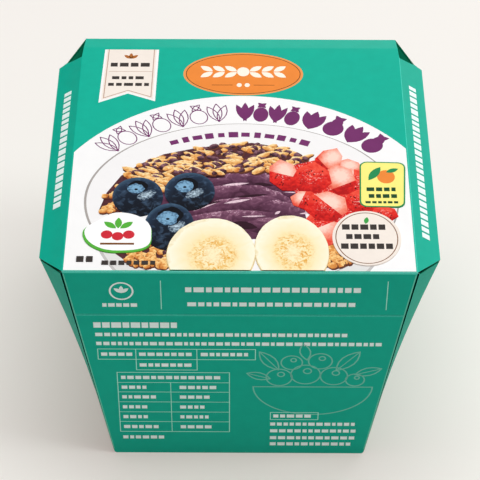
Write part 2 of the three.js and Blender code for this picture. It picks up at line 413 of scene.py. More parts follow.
# %% Mirror the half
bmesh.ops.mirror(bm, geom=bm.verts[:] + bm.edges[:] + bm.faces[:], axis="X", merge_dist=NEAR)
bmesh.ops.recalc_face_normals(bm, faces=bm.faces)
middle = [edge for edge in bm.edges if all(abs(vert.co.x) < NEAR for vert in edge.verts)]
bmesh.ops.dissolve_edges(bm, edges=middle, use_verts=True)
top_panel = max(bm.faces, key=lambda face: face.calc_center_median().z)
if top_panel.normal.z < 0:
    bmesh.ops.reverse_faces(bm, faces=bm.faces)
print("sheet:", len(bm.faces), "panels and rows, all joined at their folds")

# %% [markdown]
# Board doesn't fold to a knife edge: a creased line turns over a radius of about its own thickness. A bevel
# on every fold edge does that, and the strip at the back, which only dips, gets a wider and softer one. The
# faces that the bevel makes are where the ink is stretched and goes a little pale, so they get a finish of
# their own, and that pale green is also painted highlight, the light a rounded fold catches. The dip and the
# side fold on the left get no painted highlight and keep the green, the left one because it faces away from
# the lamps, and the folds round the gusset take its painted shade.

# %% Round the folds
FOLD_OFFSET = 0.42 * MM
SOFT_FOLD_OFFSET = 0.7 * MM
SHARP_FOLD = math.radians(12)
SOFT_FOLD = math.radians(6)


def fold_edges(bm, smallest, largest):
    """The edges where two panels meet at an angle between the two given."""
    found = []
    for edge in bm.edges:
        if len(edge.link_faces) == 2 and smallest < edge.calc_face_angle() < largest:
            found.append(edge)
    return found


# The sharp folds get the pale ink of wear and painted highlight; the left side fold, away from the lamps,
# keeps the green.
for smallest, largest, offset, segments, ink_slot in (
    (SOFT_FOLD, SHARP_FOLD, SOFT_FOLD_OFFSET, 3, GREEN_SLOT),
    (SHARP_FOLD, math.pi, FOLD_OFFSET, 4, CREASE_SLOT),
):
    folds = fold_edges(bm, smallest, largest)
    count = len(folds)
    rounded = bmesh.ops.bevel(bm, geom=folds, offset=offset, segments=segments, profile=0.5, material=-1,
                              affect="EDGES", clamp_overlap=True)
    for face in rounded["faces"]:
        is_left_fold = face.calc_center_median().x < -TOP_HALF + offset and abs(face.normal.y) < 0.1
        face.material_index = GREEN_SLOT if is_left_fold else ink_slot
    print("rounded", count, "fold edges by", round(offset / MM, 2), "mm")
bmesh.ops.dissolve_degenerate(bm, dist=NEAR, edges=bm.edges)
# Folds that touch the gusset take its painted shade as well.
gusset_corners = {vert for face in bm.faces if face.material_index == GUSSET_SLOT for vert in face.verts}
for face in bm.faces:
    if face.material_index == CREASE_SLOT and gusset_corners.intersection(face.verts):
        face.material_index = GUSSET_SLOT

# %% [markdown]
# A crease runs across the front panel from edge to edge, where the panel is bent when the pack is opened. It
# is pressed in, so it is dark along its upper side and light along its lower one. The panel is cut by three
# planes and the middle line is sunk, and the faces below it take the pale green as painted highlight. A dark
# line of ink would look the same from one side only.

# %% Press the crease in
CREASE_DISTANCE = 21.3 * MM
CREASE_HALF_WIDTH = 0.45 * MM
CREASE_DEPTH = 0.36 * MM
SAME_WAY = 0.9999


def front_parts(bm):
    """The front panel's faces with their edges and corners."""
    faces = [face for face in bm.faces if face.material_index == GREEN_SLOT]
    faces = [face for face in faces if face.normal.dot(front_out) > SAME_WAY]
    faces = [face for face in faces if face.calc_center_median().y < foot_front.y]
    edges = {edge for face in faces for edge in face.edges}
    return faces + list(edges) + list({vert for edge in edges for vert in edge.verts})


def below_crease(bm):
    """The faces that slope back up from the sunk line, which take the pale green as painted highlight."""
    lowest = front_top - slope * (CREASE_DISTANCE + CREASE_HALF_WIDTH / 2)
    return [face for face in bm.faces if face.normal.dot(front_out) > 0.7
            and abs((face.calc_center_median() - lowest).dot(slope)) < CREASE_HALF_WIDTH / 4
            and face.calc_center_median().y < foot_front.y]


for shift in (-CREASE_HALF_WIDTH, CREASE_HALF_WIDTH, 0):
    line_place = front_top - slope * (CREASE_DISTANCE + shift)
    cut = bmesh.ops.bisect_plane(bm, geom=front_parts(bm), dist=NEAR / 10, plane_co=line_place,
                                 plane_no=slope)
sunk_line = [item for item in cut["geom_cut"] if isinstance(item, bmesh.types.BMVert)]
bmesh.ops.translate(bm, verts=sunk_line, vec=-front_out * CREASE_DEPTH)
# Painted highlight: the pale green on the crease's lower side.
for face in below_crease(bm):
    face.material_index = CREASE_SLOT
print("crease across the front pressed in at", len(sunk_line), "points")

# %% [markdown]
# Right below the top's front fold the picture shows a thin bright line, where the rounded fold catches the
# light. The white of the top is printed a little over the fold, and below it the pale green is painted
# highlight as well as rubbed ink. So one more plane cuts a band off the panel's upper edge. The part of it
# that looks up takes the white ink and the rest takes the pale one.

# %% The pale band below the top fold
PALE_STRIP = 1.0 * MM
LOOKS_UP = math.sin(math.radians(45))
bmesh.ops.bisect_plane(bm, geom=front_parts(bm), dist=NEAR / 10, plane_no=slope,
                       plane_co=front_top - slope * PALE_STRIP)
# Painted highlight: the pale band below the top fold, under the white that is printed over it.
for face in bm.faces:
    depth = (front_top - face.calc_center_median()).dot(slope)
    is_front = face.normal.dot(front_out) > 0.3 and face.calc_center_median().y < FRONT + 1 * MM
    if is_front and depth < PALE_STRIP:
        face.material_index = WHITE_SLOT if face.normal.z > LOOKS_UP else CREASE_SLOT
print("pale band:", round(PALE_STRIP / MM, 1), "mm high, below the top fold")

# %% [markdown]
# The sheet gets its thickness on its inner side, so that its outside stays on the frame. The list of
# materials is laid out for that: first the six outer inks, then the bare inner board as many times, then the
# cut edge. So one offset turns the inner faces grey, and another gives the rim its pale paper. A small bevel
# softens the cut edges. Both are applied, because only plain mesh can be given its inks face by face.

# %% Helpers that finish a piece
def finish_piece(bm, name, materials):
    """Turns a bmesh into a named object that carries the materials."""
    mesh = bpy.data.meshes.new(name)
    bm.to_mesh(mesh)
    bm.free()
    for material in materials:
        mesh.materials.append(material)
    piece = bpy.data.objects.new(name, mesh)
    bpy.context.collection.objects.link(piece)
    return piece


def apply_modifiers(piece):
    """Makes the modifiers' result the piece's own mesh."""
    shaped = bpy.data.meshes.new_from_object(piece.evaluated_get(bpy.context.evaluated_depsgraph_get()))
    piece.modifiers.clear()
    piece.data = shaped
    return shaped

# %% Give the sheet its thickness
BOARD = 0.45 * MM
EDGE_SOFTNESS = 0.13 * MM
CUT_EDGE_ANGLE = math.radians(60)
board_inks = [green_ink, crease_wear_and_highlight_ink, web_painted_shade_ink, painted_shade_ink, gap_painted_shade_ink, white_ink]
INNER_SLOT = len(board_inks)
CUT_EDGE_SLOT = 2 * INNER_SLOT
board = finish_piece(bm, "carton_board", board_inks + [inner_board] * INNER_SLOT + [cut_edge])
wall = board.modifiers.new("board thickness", "SOLIDIFY")
wall.thickness = BOARD
wall.offset = -1
wall.use_even_offset = True
wall.material_offset = INNER_SLOT
wall.material_offset_rim = CUT_EDGE_SLOT
softened = board.modifiers.new("soft cut edges", "BEVEL")
softened.width = EDGE_SOFTNESS
softened.segments = 2
softened.material = CUT_EDGE_SLOT
softened.limit_method = "ANGLE"
softened.angle_limit = CUT_EDGE_ANGLE
board_mesh = apply_modifiers(board)
print("board is", round(BOARD / MM, 2), "mm thick and has", len(board_mesh.polygons), "faces")

# %% [markdown]
# Two places on the board are given painted shade, darker than the materials so far make them. What can be
# seen inside the notches is in shade all round, and the cut edge at the slanting front end of each flap
# shows as a dark green line. Both are found by their place and take the gusset's dark green of painted
# shade.

# %% Painted shade in the notches and at the flaps' front ends
SMOOTH_BELOW = math.radians(5)


def is_in_notch(place):
    """Whether a place lies behind, outside and above the gusset's valley."""
    return abs(place.x) > gusset_valley.x and place.y > gusset_valley.y and place.z > gusset_valley.z


def is_flap_end(polygon):
    """A cut edge at the slanting front end of a flap, which gets a dark green line of painted shade."""
    is_beside_top = abs(polygon.center.x) > TOP_HALF and polygon.center.y < FRONT + FLAP_FRONT_SETBACK
    return is_beside_top and polygon.material_index == CUT_EDGE_SLOT


# Painted shade on what shows inside the notches and on the flaps' front ends.
for polygon in board_mesh.polygons:
    is_inner = INNER_SLOT <= polygon.material_index < CUT_EDGE_SLOT
    if is_flap_end(polygon) or (is_inner and is_in_notch(polygon.center)):
        polygon.material_index = GUSSET_SLOT
board_mesh.polygons.foreach_set("use_smooth", [True] * len(board_mesh.polygons))
board_mesh.set_sharp_from_angle(angle=SMOOTH_BELOW)
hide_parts("carton")
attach(board, "root")
in_painted_shade = [polygon for polygon in board_mesh.polygons if polygon.material_index == GUSSET_SLOT]
print("dark ink on", len(in_painted_shade), "faces of the board")

# %% [markdown]
# Each gusset is folded into a pocket. Its front leaf is part of the sheet above, and shows from the front.
# The other two leaves turn up from the bottom of the fold, one below the flap's end and one below the edge
# of the strip, and close the notch when it is seen from behind. They are a small sheet of their own, because
# three leaves meet along each fold, and a sheet's thickness is only clear where two faces meet.

# %% The gussets' back leaves
LEAF_CLEAR = 0.6 * MM
below_top = top_back - Vector((LEAF_CLEAR, LEAF_CLEAR / 2, LEAF_CLEAR))
below_ridge = crease_end - Vector((LEAF_CLEAR, LEAF_CLEAR / 2, LEAF_CLEAR / 2))
below_strip = back_edge - Vector((LEAF_CLEAR, LEAF_CLEAR, LEAF_CLEAR))
bm = bmesh.new()
for side in (1, -1):
    corners = (below_top, below_ridge, gusset_valley, below_strip)
    top, outer, foot, inner = (bm.verts.new((corner.x * side, corner.y, corner.z)) for corner in corners)
    bm.faces.new((top, outer, foot))
    bm.faces.new((top, foot, inner))
bmesh.ops.recalc_face_normals(bm, faces=bm.faces)
bmesh.ops.solidify(bm, geom=bm.faces[:], thickness=BOARD)
bmesh.ops.recalc_face_normals(bm, faces=bm.faces)
leaves = finish_piece(bm, "gusset_back_leaves", [green_ink])
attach(leaves, "root")
print("gusset leaves:", len(leaves.data.polygons), "faces")

# %% [markdown]
# Ink has no thickness worth measuring, yet an image laid on the panel would blur at its edges and couldn't
# be changed. So every printed field is a very thin closed slab, cut to its true outline and lying on its
# panel: each is drawn flat, in millimetres, on the panel's own two directions, then extruded and carried to
# its place. A later colour stands a hundredth of a millimetre higher than the one it overprints.

# %% The panels that carry print
def panel_frame(origin, right, out):
    """The turn and place that carry a flat drawing, in mm, on to a panel."""
    right, out = right.normalized(), out.normalized()
    up = out.cross(right)
    turned = Matrix((right, up, out)).transposed().to_4x4()
    return Matrix.Translation(origin) @ turned @ Matrix.Scale(MM, 4)


RIGHTWARDS = Vector((1, 0, 0))
BACKWARDS = Vector((0, 1, 0))
flap_out = (ridge_front - top_front).cross(-BACKWARDS).normalized()
flap_out = Vector((abs(flap_out.x), 0, abs(flap_out.z)))
top_print = panel_frame(Vector((0, 0, HEIGHT)), RIGHTWARDS, Vector((0, 0, 1)))
front_print = panel_frame(front_top, RIGHTWARDS, front_out)
flap_fold = Vector((TOP_HALF, 0, HEIGHT)) - flap_out * FLAP_SAG
right_flap_print = panel_frame(flap_fold, BACKWARDS, flap_out)
left_flap_print = panel_frame(Vector((-flap_fold.x, 0, flap_fold.z)), -BACKWARDS,
                              Vector((-flap_out.x, 0, flap_out.z)))
print("print can lie on the top, the front and both flaps")

# %% [markdown]
# A drawing is put together from a few flat shapes: discs, leaves, uneven blobs, bars and faces through given
# points. A disc keeps its own place as a uv map, and what is drawn out of it keeps that map, so an ink can
# be shaded across each shape.

# %% Shapes to print with
def new_drawing():
    """An empty flat drawing, with the uv map that its inks may shade by."""
    bm = bmesh.new()
    bm.loops.layers.uv.new("local")
    return bm


def mark_local(bm, face, place):
    """Writes each corner's place in the shape's unit circle to the uv map called local."""
    layer = bm.loops.layers.uv["local"]
    back = place.inverted()
    for loop in face.loops:
        loop[layer].uv = (back @ loop.vert.co).xy


def placed(x, y, rx, ry, turn=0, z=0):
    """The matrix that carries a unit circle to an ellipse."""
    turned = Matrix.Rotation(math.radians(turn), 4, "Z")
    return Matrix.Translation((x, y, z)) @ turned @ Matrix.Diagonal((rx, ry, 1, 1))


def disc(bm, x, y, rx, ry, turn=0, steps=24, z=0, ink_slot=0):
    """A filled ellipse."""
    place = placed(x, y, rx, ry, turn, z)
    made = bmesh.ops.create_circle(bm, cap_ends=True, segments=steps, radius=1, matrix=place)
    face = made["verts"][0].link_faces[0]
    face.material_index = ink_slot
    mark_local(bm, face, place)
    return face


def reshape(bm, face, place, change):
    """Moves each corner of a disc by a rule on its place in the unit circle, then marks it again."""
    back = place.inverted()
    for vert in face.verts:
        x, y = change(*(back @ vert.co).xy)
        vert.co = place @ Vector((x, y, 0))
    mark_local(bm, face, place)
    return face


def leaf(bm, x, y, length, width, turn=0, z=0, ink_slot=0, steps=16):
    """A disc whose two ends are drawn out to points."""
    place = placed(x, y, length / 2, width / 2, turn, z)
    face = disc(bm, x, y, length / 2, width / 2, turn, steps, z, ink_slot)
    return reshape(bm, face, place, lambda px, py: (px, py * abs(py)))


def blob(bm, x, y, rx, ry, dice, turn, rough, steps, z, ink_slot=0):
    """A disc with an uneven edge."""
    place = placed(x, y, rx, ry, turn, z)
    face = disc(bm, x, y, rx, ry, turn, steps, z, ink_slot)
    return reshape(bm, face, place, lambda px, py: [value * (1 + dice.uniform(-rough, rough))
                                                    for value in (px, py)])


def bar(bm, x, y, length, height, turn=0, z=0, ink_slot=0):
    """A rectangle round its middle."""
    place = placed(x, y, length / 2, height / 2, turn, z)
    made = bmesh.ops.create_grid(bm, x_segments=1, y_segments=1, size=1, matrix=place)
    face = made["verts"][0].link_faces[0]
    face.material_index = ink_slot
    mark_local(bm, face, place)
    return face


def patch(bm, points):
    """A filled face through the given points."""
    face = bm.faces.new([bm.verts.new((x, y, 0)) for x, y in points])
    face.normal_update()
    return face

# %% Rounded corners, outlines and lines of print
CUT_EXACTNESS = 1e-4


def round_corners(bm, face, radius):
    """Rounds every corner of a face."""
    bmesh.ops.bevel(bm, geom=face.verts[:], offset=radius, segments=4, profile=0.5, material=-1,
                    affect="VERTICES")


def keep_line(bm, faces, width):
    """Turns filled shapes into outlines of one width."""
    faces = list(faces)
    bmesh.ops.inset_individual(bm, faces=faces, thickness=width, use_even_offset=True)
    bmesh.ops.delete(bm, geom=faces, context="FACES_ONLY")


def ring(bm, x, y, rx, ry, width, steps):
    """The outline of an ellipse."""
    keep_line(bm, [disc(bm, x, y, rx, ry, steps=steps)], width)


def words(bm, left, right, y, height, dice, shortest, longest, gap=0.8):
    """A line of small print, as bars of uneven length."""
    x = left
    while right - x > shortest:
        length = min(dice.uniform(shortest, longest), right - x)
        bar(bm, x + length / 2, y, length, height)
        x += length + gap


def keep_inside(bm, left=None, right=None, low=None, high=None):
    """Cuts a drawing off at straight lines, where the panel folds."""
    for value, place, outward in (
        (left, (left, 0, 0), (-1, 0, 0)),
        (right, (right, 0, 0), (1, 0, 0)),
        (low, (0, low, 0), (0, -1, 0)),
        (high, (0, high, 0), (0, 1, 0)),
    ):
        if value is not None:
            everything = bm.verts[:] + bm.edges[:] + bm.faces[:]
            bmesh.ops.bisect_plane(bm, geom=everything, dist=CUT_EXACTNESS, plane_co=place,
                                   plane_no=outward, clear_outer=True)

# %% Print a drawing on a panel
INK_STEP = 0.012
INK_SINK = 0.05


def print_on(surface, bm, name, layer, materials):
    """Extrudes the flat drawing to thin closed slabs and lays them on a panel as one piece of the pack."""
    bmesh.ops.translate(bm, verts=bm.verts, vec=(0, 0, -INK_SINK))
    raised = bmesh.ops.extrude_face_region(bm, geom=bm.faces[:])
    lifted = [item for item in raised["geom"] if isinstance(item, bmesh.types.BMVert)]
    bmesh.ops.translate(bm, verts=lifted, vec=(0, 0, INK_SINK + layer * INK_STEP))
    bmesh.ops.recalc_face_normals(bm, faces=bm.faces)
    bmesh.ops.transform(bm, matrix=surface, verts=bm.verts)
    piece = finish_piece(bm, name, materials)
    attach(piece, "root")
    print(name, "has", len(piece.data.polygons), "faces")
    return piece

# %% [markdown]
# The largest field is white: everything below a wide arch, down to the front fold and out to both side
# folds. It is one circle, cut off straight at the three folds.

# %% White field
FOLD_LINE = 0.45
TOP_EDGE = TOP_HALF / MM - FOLD_LINE
TOP_LOW = FRONT / MM + 0.4
ARCH_X, ARCH_Y, ARCH_RADIUS = 0.9, -41.1, 68.8
bm = new_drawing()
disc(bm, ARCH_X, ARCH_Y, ARCH_RADIUS, ARCH_RADIUS, steps=180)
keep_inside(bm, left=-TOP_EDGE, right=TOP_EDGE, low=TOP_LOW)
print_on(top_print, bm, "white_field", 1, [white_ink])

# %% [markdown]
# Two labels stand on the green above the arch: a small pennant with a notched foot, and an oval seal. The
# pennant is a white shape, a beige one inside it and a thin brown line inside that, so each is the same
# outline inset a little further. The seal is built like it. Both carry plain leaves and bars.

# %% Pennant
beige_ink = ink("beige_ink", srgb(243, 232, 222), drift=0.02)
brown_line = ink("thin_brown_line", srgb(194, 162, 146), drift=0.05)
black_ink = ink("soft_black_ink", srgb(60, 54, 52), drift=0.05)
gold_ink = ink("gold_brown_ink", srgb(176, 106, 50), drift=0.06)
PENNANT_TOP = 54.1
PENNANT = [(-48.8, PENNANT_TOP), (-49.7, 23.6), (-39.6, 28.8), (-29.9, 24.5), (-29.4, PENNANT_TOP)]
# Taller, so that a copy inset from it can be cut level with the top.
TALL_PENNANT = [(x, y + 5 if y == PENNANT_TOP else y) for x, y in PENNANT]


def inset_outline(bm, points, distance):
    """A closed outline drawn inset by a distance, as a filled face."""
    face = patch(bm, points)
    made = bmesh.ops.inset_individual(bm, faces=[face], thickness=distance, use_even_offset=True)
    bmesh.ops.delete(bm, geom=made["faces"], context="FACES")
    return face


bm = new_drawing()
patch(bm, PENNANT)
print_on(top_print, bm, "pennant_rim", 1, [white_ink])
bm = new_drawing()
inset_outline(bm, TALL_PENNANT, 0.8)
keep_inside(bm, high=PENNANT_TOP)
print_on(top_print, bm, "pennant_field", 2, [beige_ink])
bm = new_drawing()
keep_line(bm, [inset_outline(bm, TALL_PENNANT, 1.4)], 0.35)
keep_inside(bm, high=PENNANT_TOP)
bar(bm, -39.2, 41.3, 15.5, 0.2)
print_on(top_print, bm, "pennant_line", 3, [brown_line])

# %% Marks on the pennant
dice = random.Random(3)
bm = new_drawing()
for turn in (-50, 0, 50):
    reach = math.radians(turn)
    leaf(bm, -39.3 + 1.6 * math.sin(reach), 48.9 + 1.4 * math.cos(reach), 3.2, 1.5, 90 - turn)
print_on(top_print, bm, "pennant_sprig", 3, [gold_ink])
bm = new_drawing()
words(bm, -46.4, -32.2, 45.2, 2.2, dice, 2.0, 4.0)
words(bm, -45.6, -33.2, 37.7, 1.7, dice, 1.6, 3.2)
words(bm, -46.8, -32.4, 33.9, 1.7, dice, 1.6, 3.2)
print_on(top_print, bm, "pennant_words", 3, [black_ink])

# %% Oval seal
SEAL_X, SEAL_Y, SEAL_RX, SEAL_RY = 0.95, 40.2, 21.3, 12.2
orange_ink = ink("orange_ink", srgb(238, 138, 58), drift=0.03)
orange_rim = ink("light_orange_ink", srgb(240, 152, 82), drift=0.03)
seal_line = ink("dark_brown_line", srgb(122, 72, 30), drift=0.05)
cream_ink = ink("cream_ink", srgb(252, 244, 228), drift=0.01)
bm = new_drawing()
disc(bm, SEAL_X, SEAL_Y, SEAL_RX, SEAL_RY, steps=72)
print_on(top_print, bm, "seal_rim", 1, [orange_rim])
bm = new_drawing()
disc(bm, SEAL_X, SEAL_Y, SEAL_RX - 1, SEAL_RY - 0.9, steps=72)
print_on(top_print, bm, "seal_field", 2, [orange_ink])
bm = new_drawing()
ring(bm, SEAL_X, SEAL_Y, SEAL_RX - 0.9, SEAL_RY - 0.8, 0.3, 72)
for side in (-1, 1):
    bar(bm, SEAL_X + side * 7.4, SEAL_Y - 6.4, 7.4, 0.25)
print_on(top_print, bm, "seal_line", 3, [seal_line])
bm = new_drawing()
disc(bm, SEAL_X, SEAL_Y + 1.2, 2.2, 2.6)
for side in (-1, 1):
    for step in range(3):
        out = 4.4 + step * 4.3
        leaf(bm, SEAL_X + side * out, SEAL_Y + 2.9, 5.2, 2.5, side * 34)
        leaf(bm, SEAL_X + side * out, SEAL_Y - 0.5, 5.2, 2.5, -side * 34)
    disc(bm, SEAL_X + side * 1.4, SEAL_Y - 6.4, 0.9, 1.1)
print_on(top_print, bm, "seal_sprig", 3, [cream_ink])

# %% [markdown]
# Across the white field runs a garland that follows the arch. Its left part is drawn in outline and its
# right part is solid, in the same purple, so that the left looks light and the right heavy. Sprigs and round
# fruits alternate. A smaller line of bars follows the bowl below it.

# %% Garland along the arch
purple_ink = ink("purple_ink", srgb(116, 48, 104), drift=0.05)
GARLAND_X, GARLAND_Y, GARLAND_RADIUS = 0.9, -48.9, 67.8
GARLAND_HEIGHT = 10.6
HAIR = 0.003


def on_arc(centre_x, centre_y, radius, angle):
    """A place on an arc and the turn that keeps a shape upright there. Angle 0 is the top of the arc."""
    reach = math.radians(angle)
    return centre_x + radius * math.sin(reach), centre_y + radius * math.cos(reach), -angle


def sprig(bm, x, y, turn, width, height):
    """Three leaves that fan out from one foot."""
    lean = math.radians(turn)
    sideways = Vector((math.cos(lean), math.sin(lean)))
    upwards = Vector((-math.sin(lean), math.cos(lean)))
    for order, (share, rise, tilt) in enumerate(((-0.24, -0.06, 22), (0.24, -0.06, -22), (0, 0.02, 0))):
        middle = Vector((x, y)) + sideways * width * share + upwards * height * rise
        leaf(bm, middle.x, middle.y, height * 0.92, width * 0.54, turn + 90 + tilt, order * HAIR)


def fruit(bm, x, y, turn, width, height):
    """A round fruit with a pair of small leaves on top."""
    lean = math.radians(turn)
    upwards = Vector((-math.sin(lean), math.cos(lean)))
    body = Vector((x, y)) - upwards * height * 0.12
    disc(bm, body.x, body.y, width * 0.5, height * 0.37, turn)
    crown = Vector((x, y)) + upwards * height * 0.36
    for order, tilt in enumerate((-48, 48)):
        leaf(bm, crown.x, crown.y, width * 0.75, width * 0.34, turn + 90 + tilt, (order + 1) * HAIR)


def garland(bm, first, last, count, width):
    """Sprigs and fruits in turn along the arc, from one angle to another."""
    for step in range(count):
        angle = first + (last - first) * step / (count - 1)
        x, y, turn = on_arc(GARLAND_X, GARLAND_Y, GARLAND_RADIUS, angle)
        shape = (sprig, fruit)[step % 2]
        shape(bm, x, y, turn, width, GARLAND_HEIGHT)


bm = new_drawing()
garland(bm, -42.4, -7.5, 7, 6.4)
keep_line(bm, bm.faces, 0.36)
print_on(top_print, bm, "garland_outline", 2, [purple_ink])
bm = new_drawing()
garland(bm, 0.6, 14.8, 4, 5.3)
garland(bm, 21, 41.6, 4, 7.2)
print_on(top_print, bm, "garland_solid", 2, [purple_ink])

# %% Small line below the garland
SUBTITLE_X, SUBTITLE_Y, SUBTITLE_RADIUS = -0.3, -54.2, 60.6
bm = new_drawing()
for step in range(12):
    x, y, turn = on_arc(SUBTITLE_X, SUBTITLE_Y, SUBTITLE_RADIUS, -21.6 + step * 43.2 / 11)
    bar(bm, x, y, (2.9, 2.2, 3.3)[step % 3], (2.2, 2.9)[step % 2], turn)
print_on(top_print, bm, "small_line", 6, [purple_ink])

# %% [markdown]
# The picture on the pack shows the food in a white bowl, and its front is cut off by the front fold. The
# bowl is a few stacked ellipses: its outer side with a grey edge, its grey lip, and its inside. The near
# half of lip and inside is drawn a little longer, as perspective draws a circle.

# %% Bowl
BOWL_X, BOWL_Y, BOWL_RX, BOWL_RY = 0.5, -27.1, 52.3, 39.5
NEAR_STRETCH = 1.08


def bowl_ellipse(bm, x, y, rx, ry):
    """An ellipse whose near half is a little longer, as perspective draws it."""
    face = disc(bm, x, y, rx, ry, steps=120)
    place = placed(x, y, rx, ry)
    return reshape(bm, face, place, lambda px, py: (px, py * (NEAR_STRETCH if py < 0 else 1)))


bowl_side = ink("bowl_side_grey", srgb(226, 224, 222), drift=0.02)
bowl_edge = ink("bowl_edge_grey", srgb(196, 193, 191), drift=0.03)
bowl_lip = ink("bowl_lip_grey", srgb(168, 162, 158), drift=0.05)
bowl_inside = ink("bowl_inside_white", srgb(243, 241, 241), drift=0.01)
bm = new_drawing()
disc(bm, BOWL_X, BOWL_Y - 3, BOWL_RX - 1.6, 54, steps=120, ink_slot=1)
disc(bm, BOWL_X, BOWL_Y - 3, BOWL_RX - 2.6, 53, steps=120, z=HAIR)
keep_inside(bm, low=TOP_LOW, high=BOWL_Y)
print_on(top_print, bm, "bowl_side", 2, [bowl_side, bowl_edge])
bm = new_drawing()
bowl_ellipse(bm, BOWL_X, BOWL_Y, BOWL_RX, BOWL_RY)
keep_inside(bm, low=TOP_LOW)
print_on(top_print, bm, "bowl_lip", 3, [bowl_lip])
bm = new_drawing()
bowl_ellipse(bm, BOWL_X + 0.1, BOWL_Y, BOWL_RX - 0.7, BOWL_RY - 0.25)
keep_inside(bm, low=TOP_LOW)
print_on(top_print, bm, "bowl_inside", 4, [bowl_inside])

# %% [markdown]
# Printed food has light and shade in the ink itself. Each shape carries a uv map that runs from -1 to 1
# across it, and its material shades by that: darker at the foot, lighter at the head, with spots of light
# where a gloss would be. So one material serves every berry, whatever its size, and the shading turns with
# the shape.

# %% Helpers for shaded ink
def local_place(nodes):
    """The place within the shape, -1 to 1 both ways."""
    node = nodes.new("ShaderNodeUVMap")
    node.uv_map = "local"
    return node.outputs["UV"]


def split(nodes, links, source):
    """The two parts of a place, across and up."""
    node = nodes.new("ShaderNodeSeparateXYZ")
    links.new(source, node.inputs[0])
    return node.outputs["X"], node.outputs["Y"]


def math_node(nodes, links, operation, first, second):
    """One sum of two values. Either may be a number or a node's output."""
    node = nodes.new("ShaderNodeMath")
    node.operation = operation
    for socket, value in zip(node.inputs, (first, second)):
        if isinstance(value, (int, float)):
            socket.default_value = value
        else:
            links.new(value, socket)
    return node.outputs[0]


def spot(nodes, links, source, x, y, rx, ry, turn=0):
    """1 in the middle of an ellipse, falling to 0 at its edge."""
    mapping = nodes.new("ShaderNodeMapping")
    mapping.vector_type = "TEXTURE"
    mapping.inputs["Location"].default_value = (x, y, 0)
    mapping.inputs["Rotation"].default_value = (0, 0, math.radians(turn))
    mapping.inputs["Scale"].default_value = (rx, ry, 1)
    links.new(source, mapping.inputs["Vector"])
    gradient = nodes.new("ShaderNodeTexGradient")
    gradient.gradient_type = "SPHERICAL"
    links.new(mapping.outputs["Vector"], gradient.inputs["Vector"])
    return gradient.outputs["Fac"]


def mix(nodes, links, factor, under, over):
    """One colour laid over another. Either may be a colour or a node's output."""
    node = nodes.new("ShaderNodeMix")
    node.data_type = "RGBA"
    links.new(factor, node.inputs["Factor"])
    for socket, value in ((node.inputs[6], under), (node.inputs[7], over)):
        if isinstance(value, tuple):
            socket.default_value = value
        else:
            links.new(value, socket)
    return node.outputs[2]


def band(nodes, links, source, start, end):
    """0 below start, 1 above end, straight between them."""
    node = nodes.new("ShaderNodeMapRange")
    node.inputs["From Min"].default_value = start
    node.inputs["From Max"].default_value = end
    links.new(source, node.inputs["Value"])
    return node.outputs["Result"]

# %% [markdown]
# Cereal is a heap of small things that overlap. Each crumb is its own cut shape with a dark one just below
# and in front of it for its shadow, and they are laid from the far side to the near side, each a hair
# higher, so that near ones cover far ones. The places are drawn at random from a fixed seed inside a few
# outlines, since placing hundreds by hand would look no better.

# %% Ink for crumbs and flakes
def crumb_ink(name, dark, middle, light):
    """Ink for a crumb or flake: dark at its foot, light at its head, mottled between."""
    material, nodes, links, shader = new_material(name)
    place = add_paper_relief(nodes, links, shader)
    head = split(nodes, links, local_place(nodes))[1]
    mottle = noise(nodes, links, place, 1.1 * MM, 3, 0.6)
    shade = math_node(nodes, links, "ADD", math_node(nodes, links, "MULTIPLY", head, 0.32), mottle)
    links.new(ramp(nodes, links, shade, [(0.2, dark), (0.5, middle), (0.8, light)]),
              shader.inputs["Base Color"])
    return material


crumb_gold = crumb_ink("golden_cereal_ink", srgb(176, 98, 42), srgb(224, 150, 76), srgb(250, 208, 138))
crumb_pale = crumb_ink("pale_flake_ink", srgb(196, 122, 60), srgb(236, 178, 104), srgb(254, 226, 170))
crumb_dark = crumb_ink("dark_fruit_ink", srgb(44, 22, 30), srgb(82, 46, 58), srgb(140, 98, 108))
cereal_ground = ink("cereal_ground_ink", srgb(84, 44, 50), drift=0.25, drift_size=1.2 * MM)
crumb_shadow = ink("cereal_shadow_ink", srgb(98, 52, 36), drift=0.2, drift_size=1.5 * MM)
print("cereal inks:", crumb_gold.name, crumb_pale.name, crumb_dark.name, crumb_shadow.name)

# %% Cereal outlines
CEREAL = [(-46.6, -33), (-44.4, -24), (-40, -15.5), (-34, -9.5), (-26, -4.2), (-16, -1.2), (-6, 1), (4, 2),
          (13, 0), (20, -3.4), (23.5, -7.5), (15, -14), (6, -12.5), (-8, -14), (-20, -16), (-30, -28),
          (-38, -36)]
CEREAL_LOW_LEFT = [(-40, -54), (-35, -48), (-25, -46), (-20, -52), (-22, -60), (-34, -60)]
CEREAL_LOW_RIGHT = [(24, -46), (31, -44), (39, -54), (33, -60), (24, -60)]
bm = new_drawing()
for outline in (CEREAL, CEREAL_LOW_LEFT, CEREAL_LOW_RIGHT):
    patch(bm, outline)
keep_inside(bm, low=TOP_LOW)
print_on(top_print, bm, "cereal_ground", 7, [cereal_ground])

# %% Places and kinds of crumbs
CEREAL_STEP = 0.0005
LUMPS_BELOW, FLAKES_BELOW = 0.14, 0.52


def point_in(outline, dice):
    """A random place inside an outline, each part of it as likely as its area."""
    corners = [Vector((x, y, 0)) for x, y in outline]
    triangles = [[corners[i] for i in triple] for triple in tessellate_polygon([corners])]
    areas = [(b - a).cross(c - a).length for a, b, c in triangles]
    a, b, c = dice.choices(triangles, areas)[0]
    u, v = dice.random(), dice.random()
    if u + v > 1:
        u, v = 1 - u, 1 - v
    return a + (b - a) * u + (c - a) * v


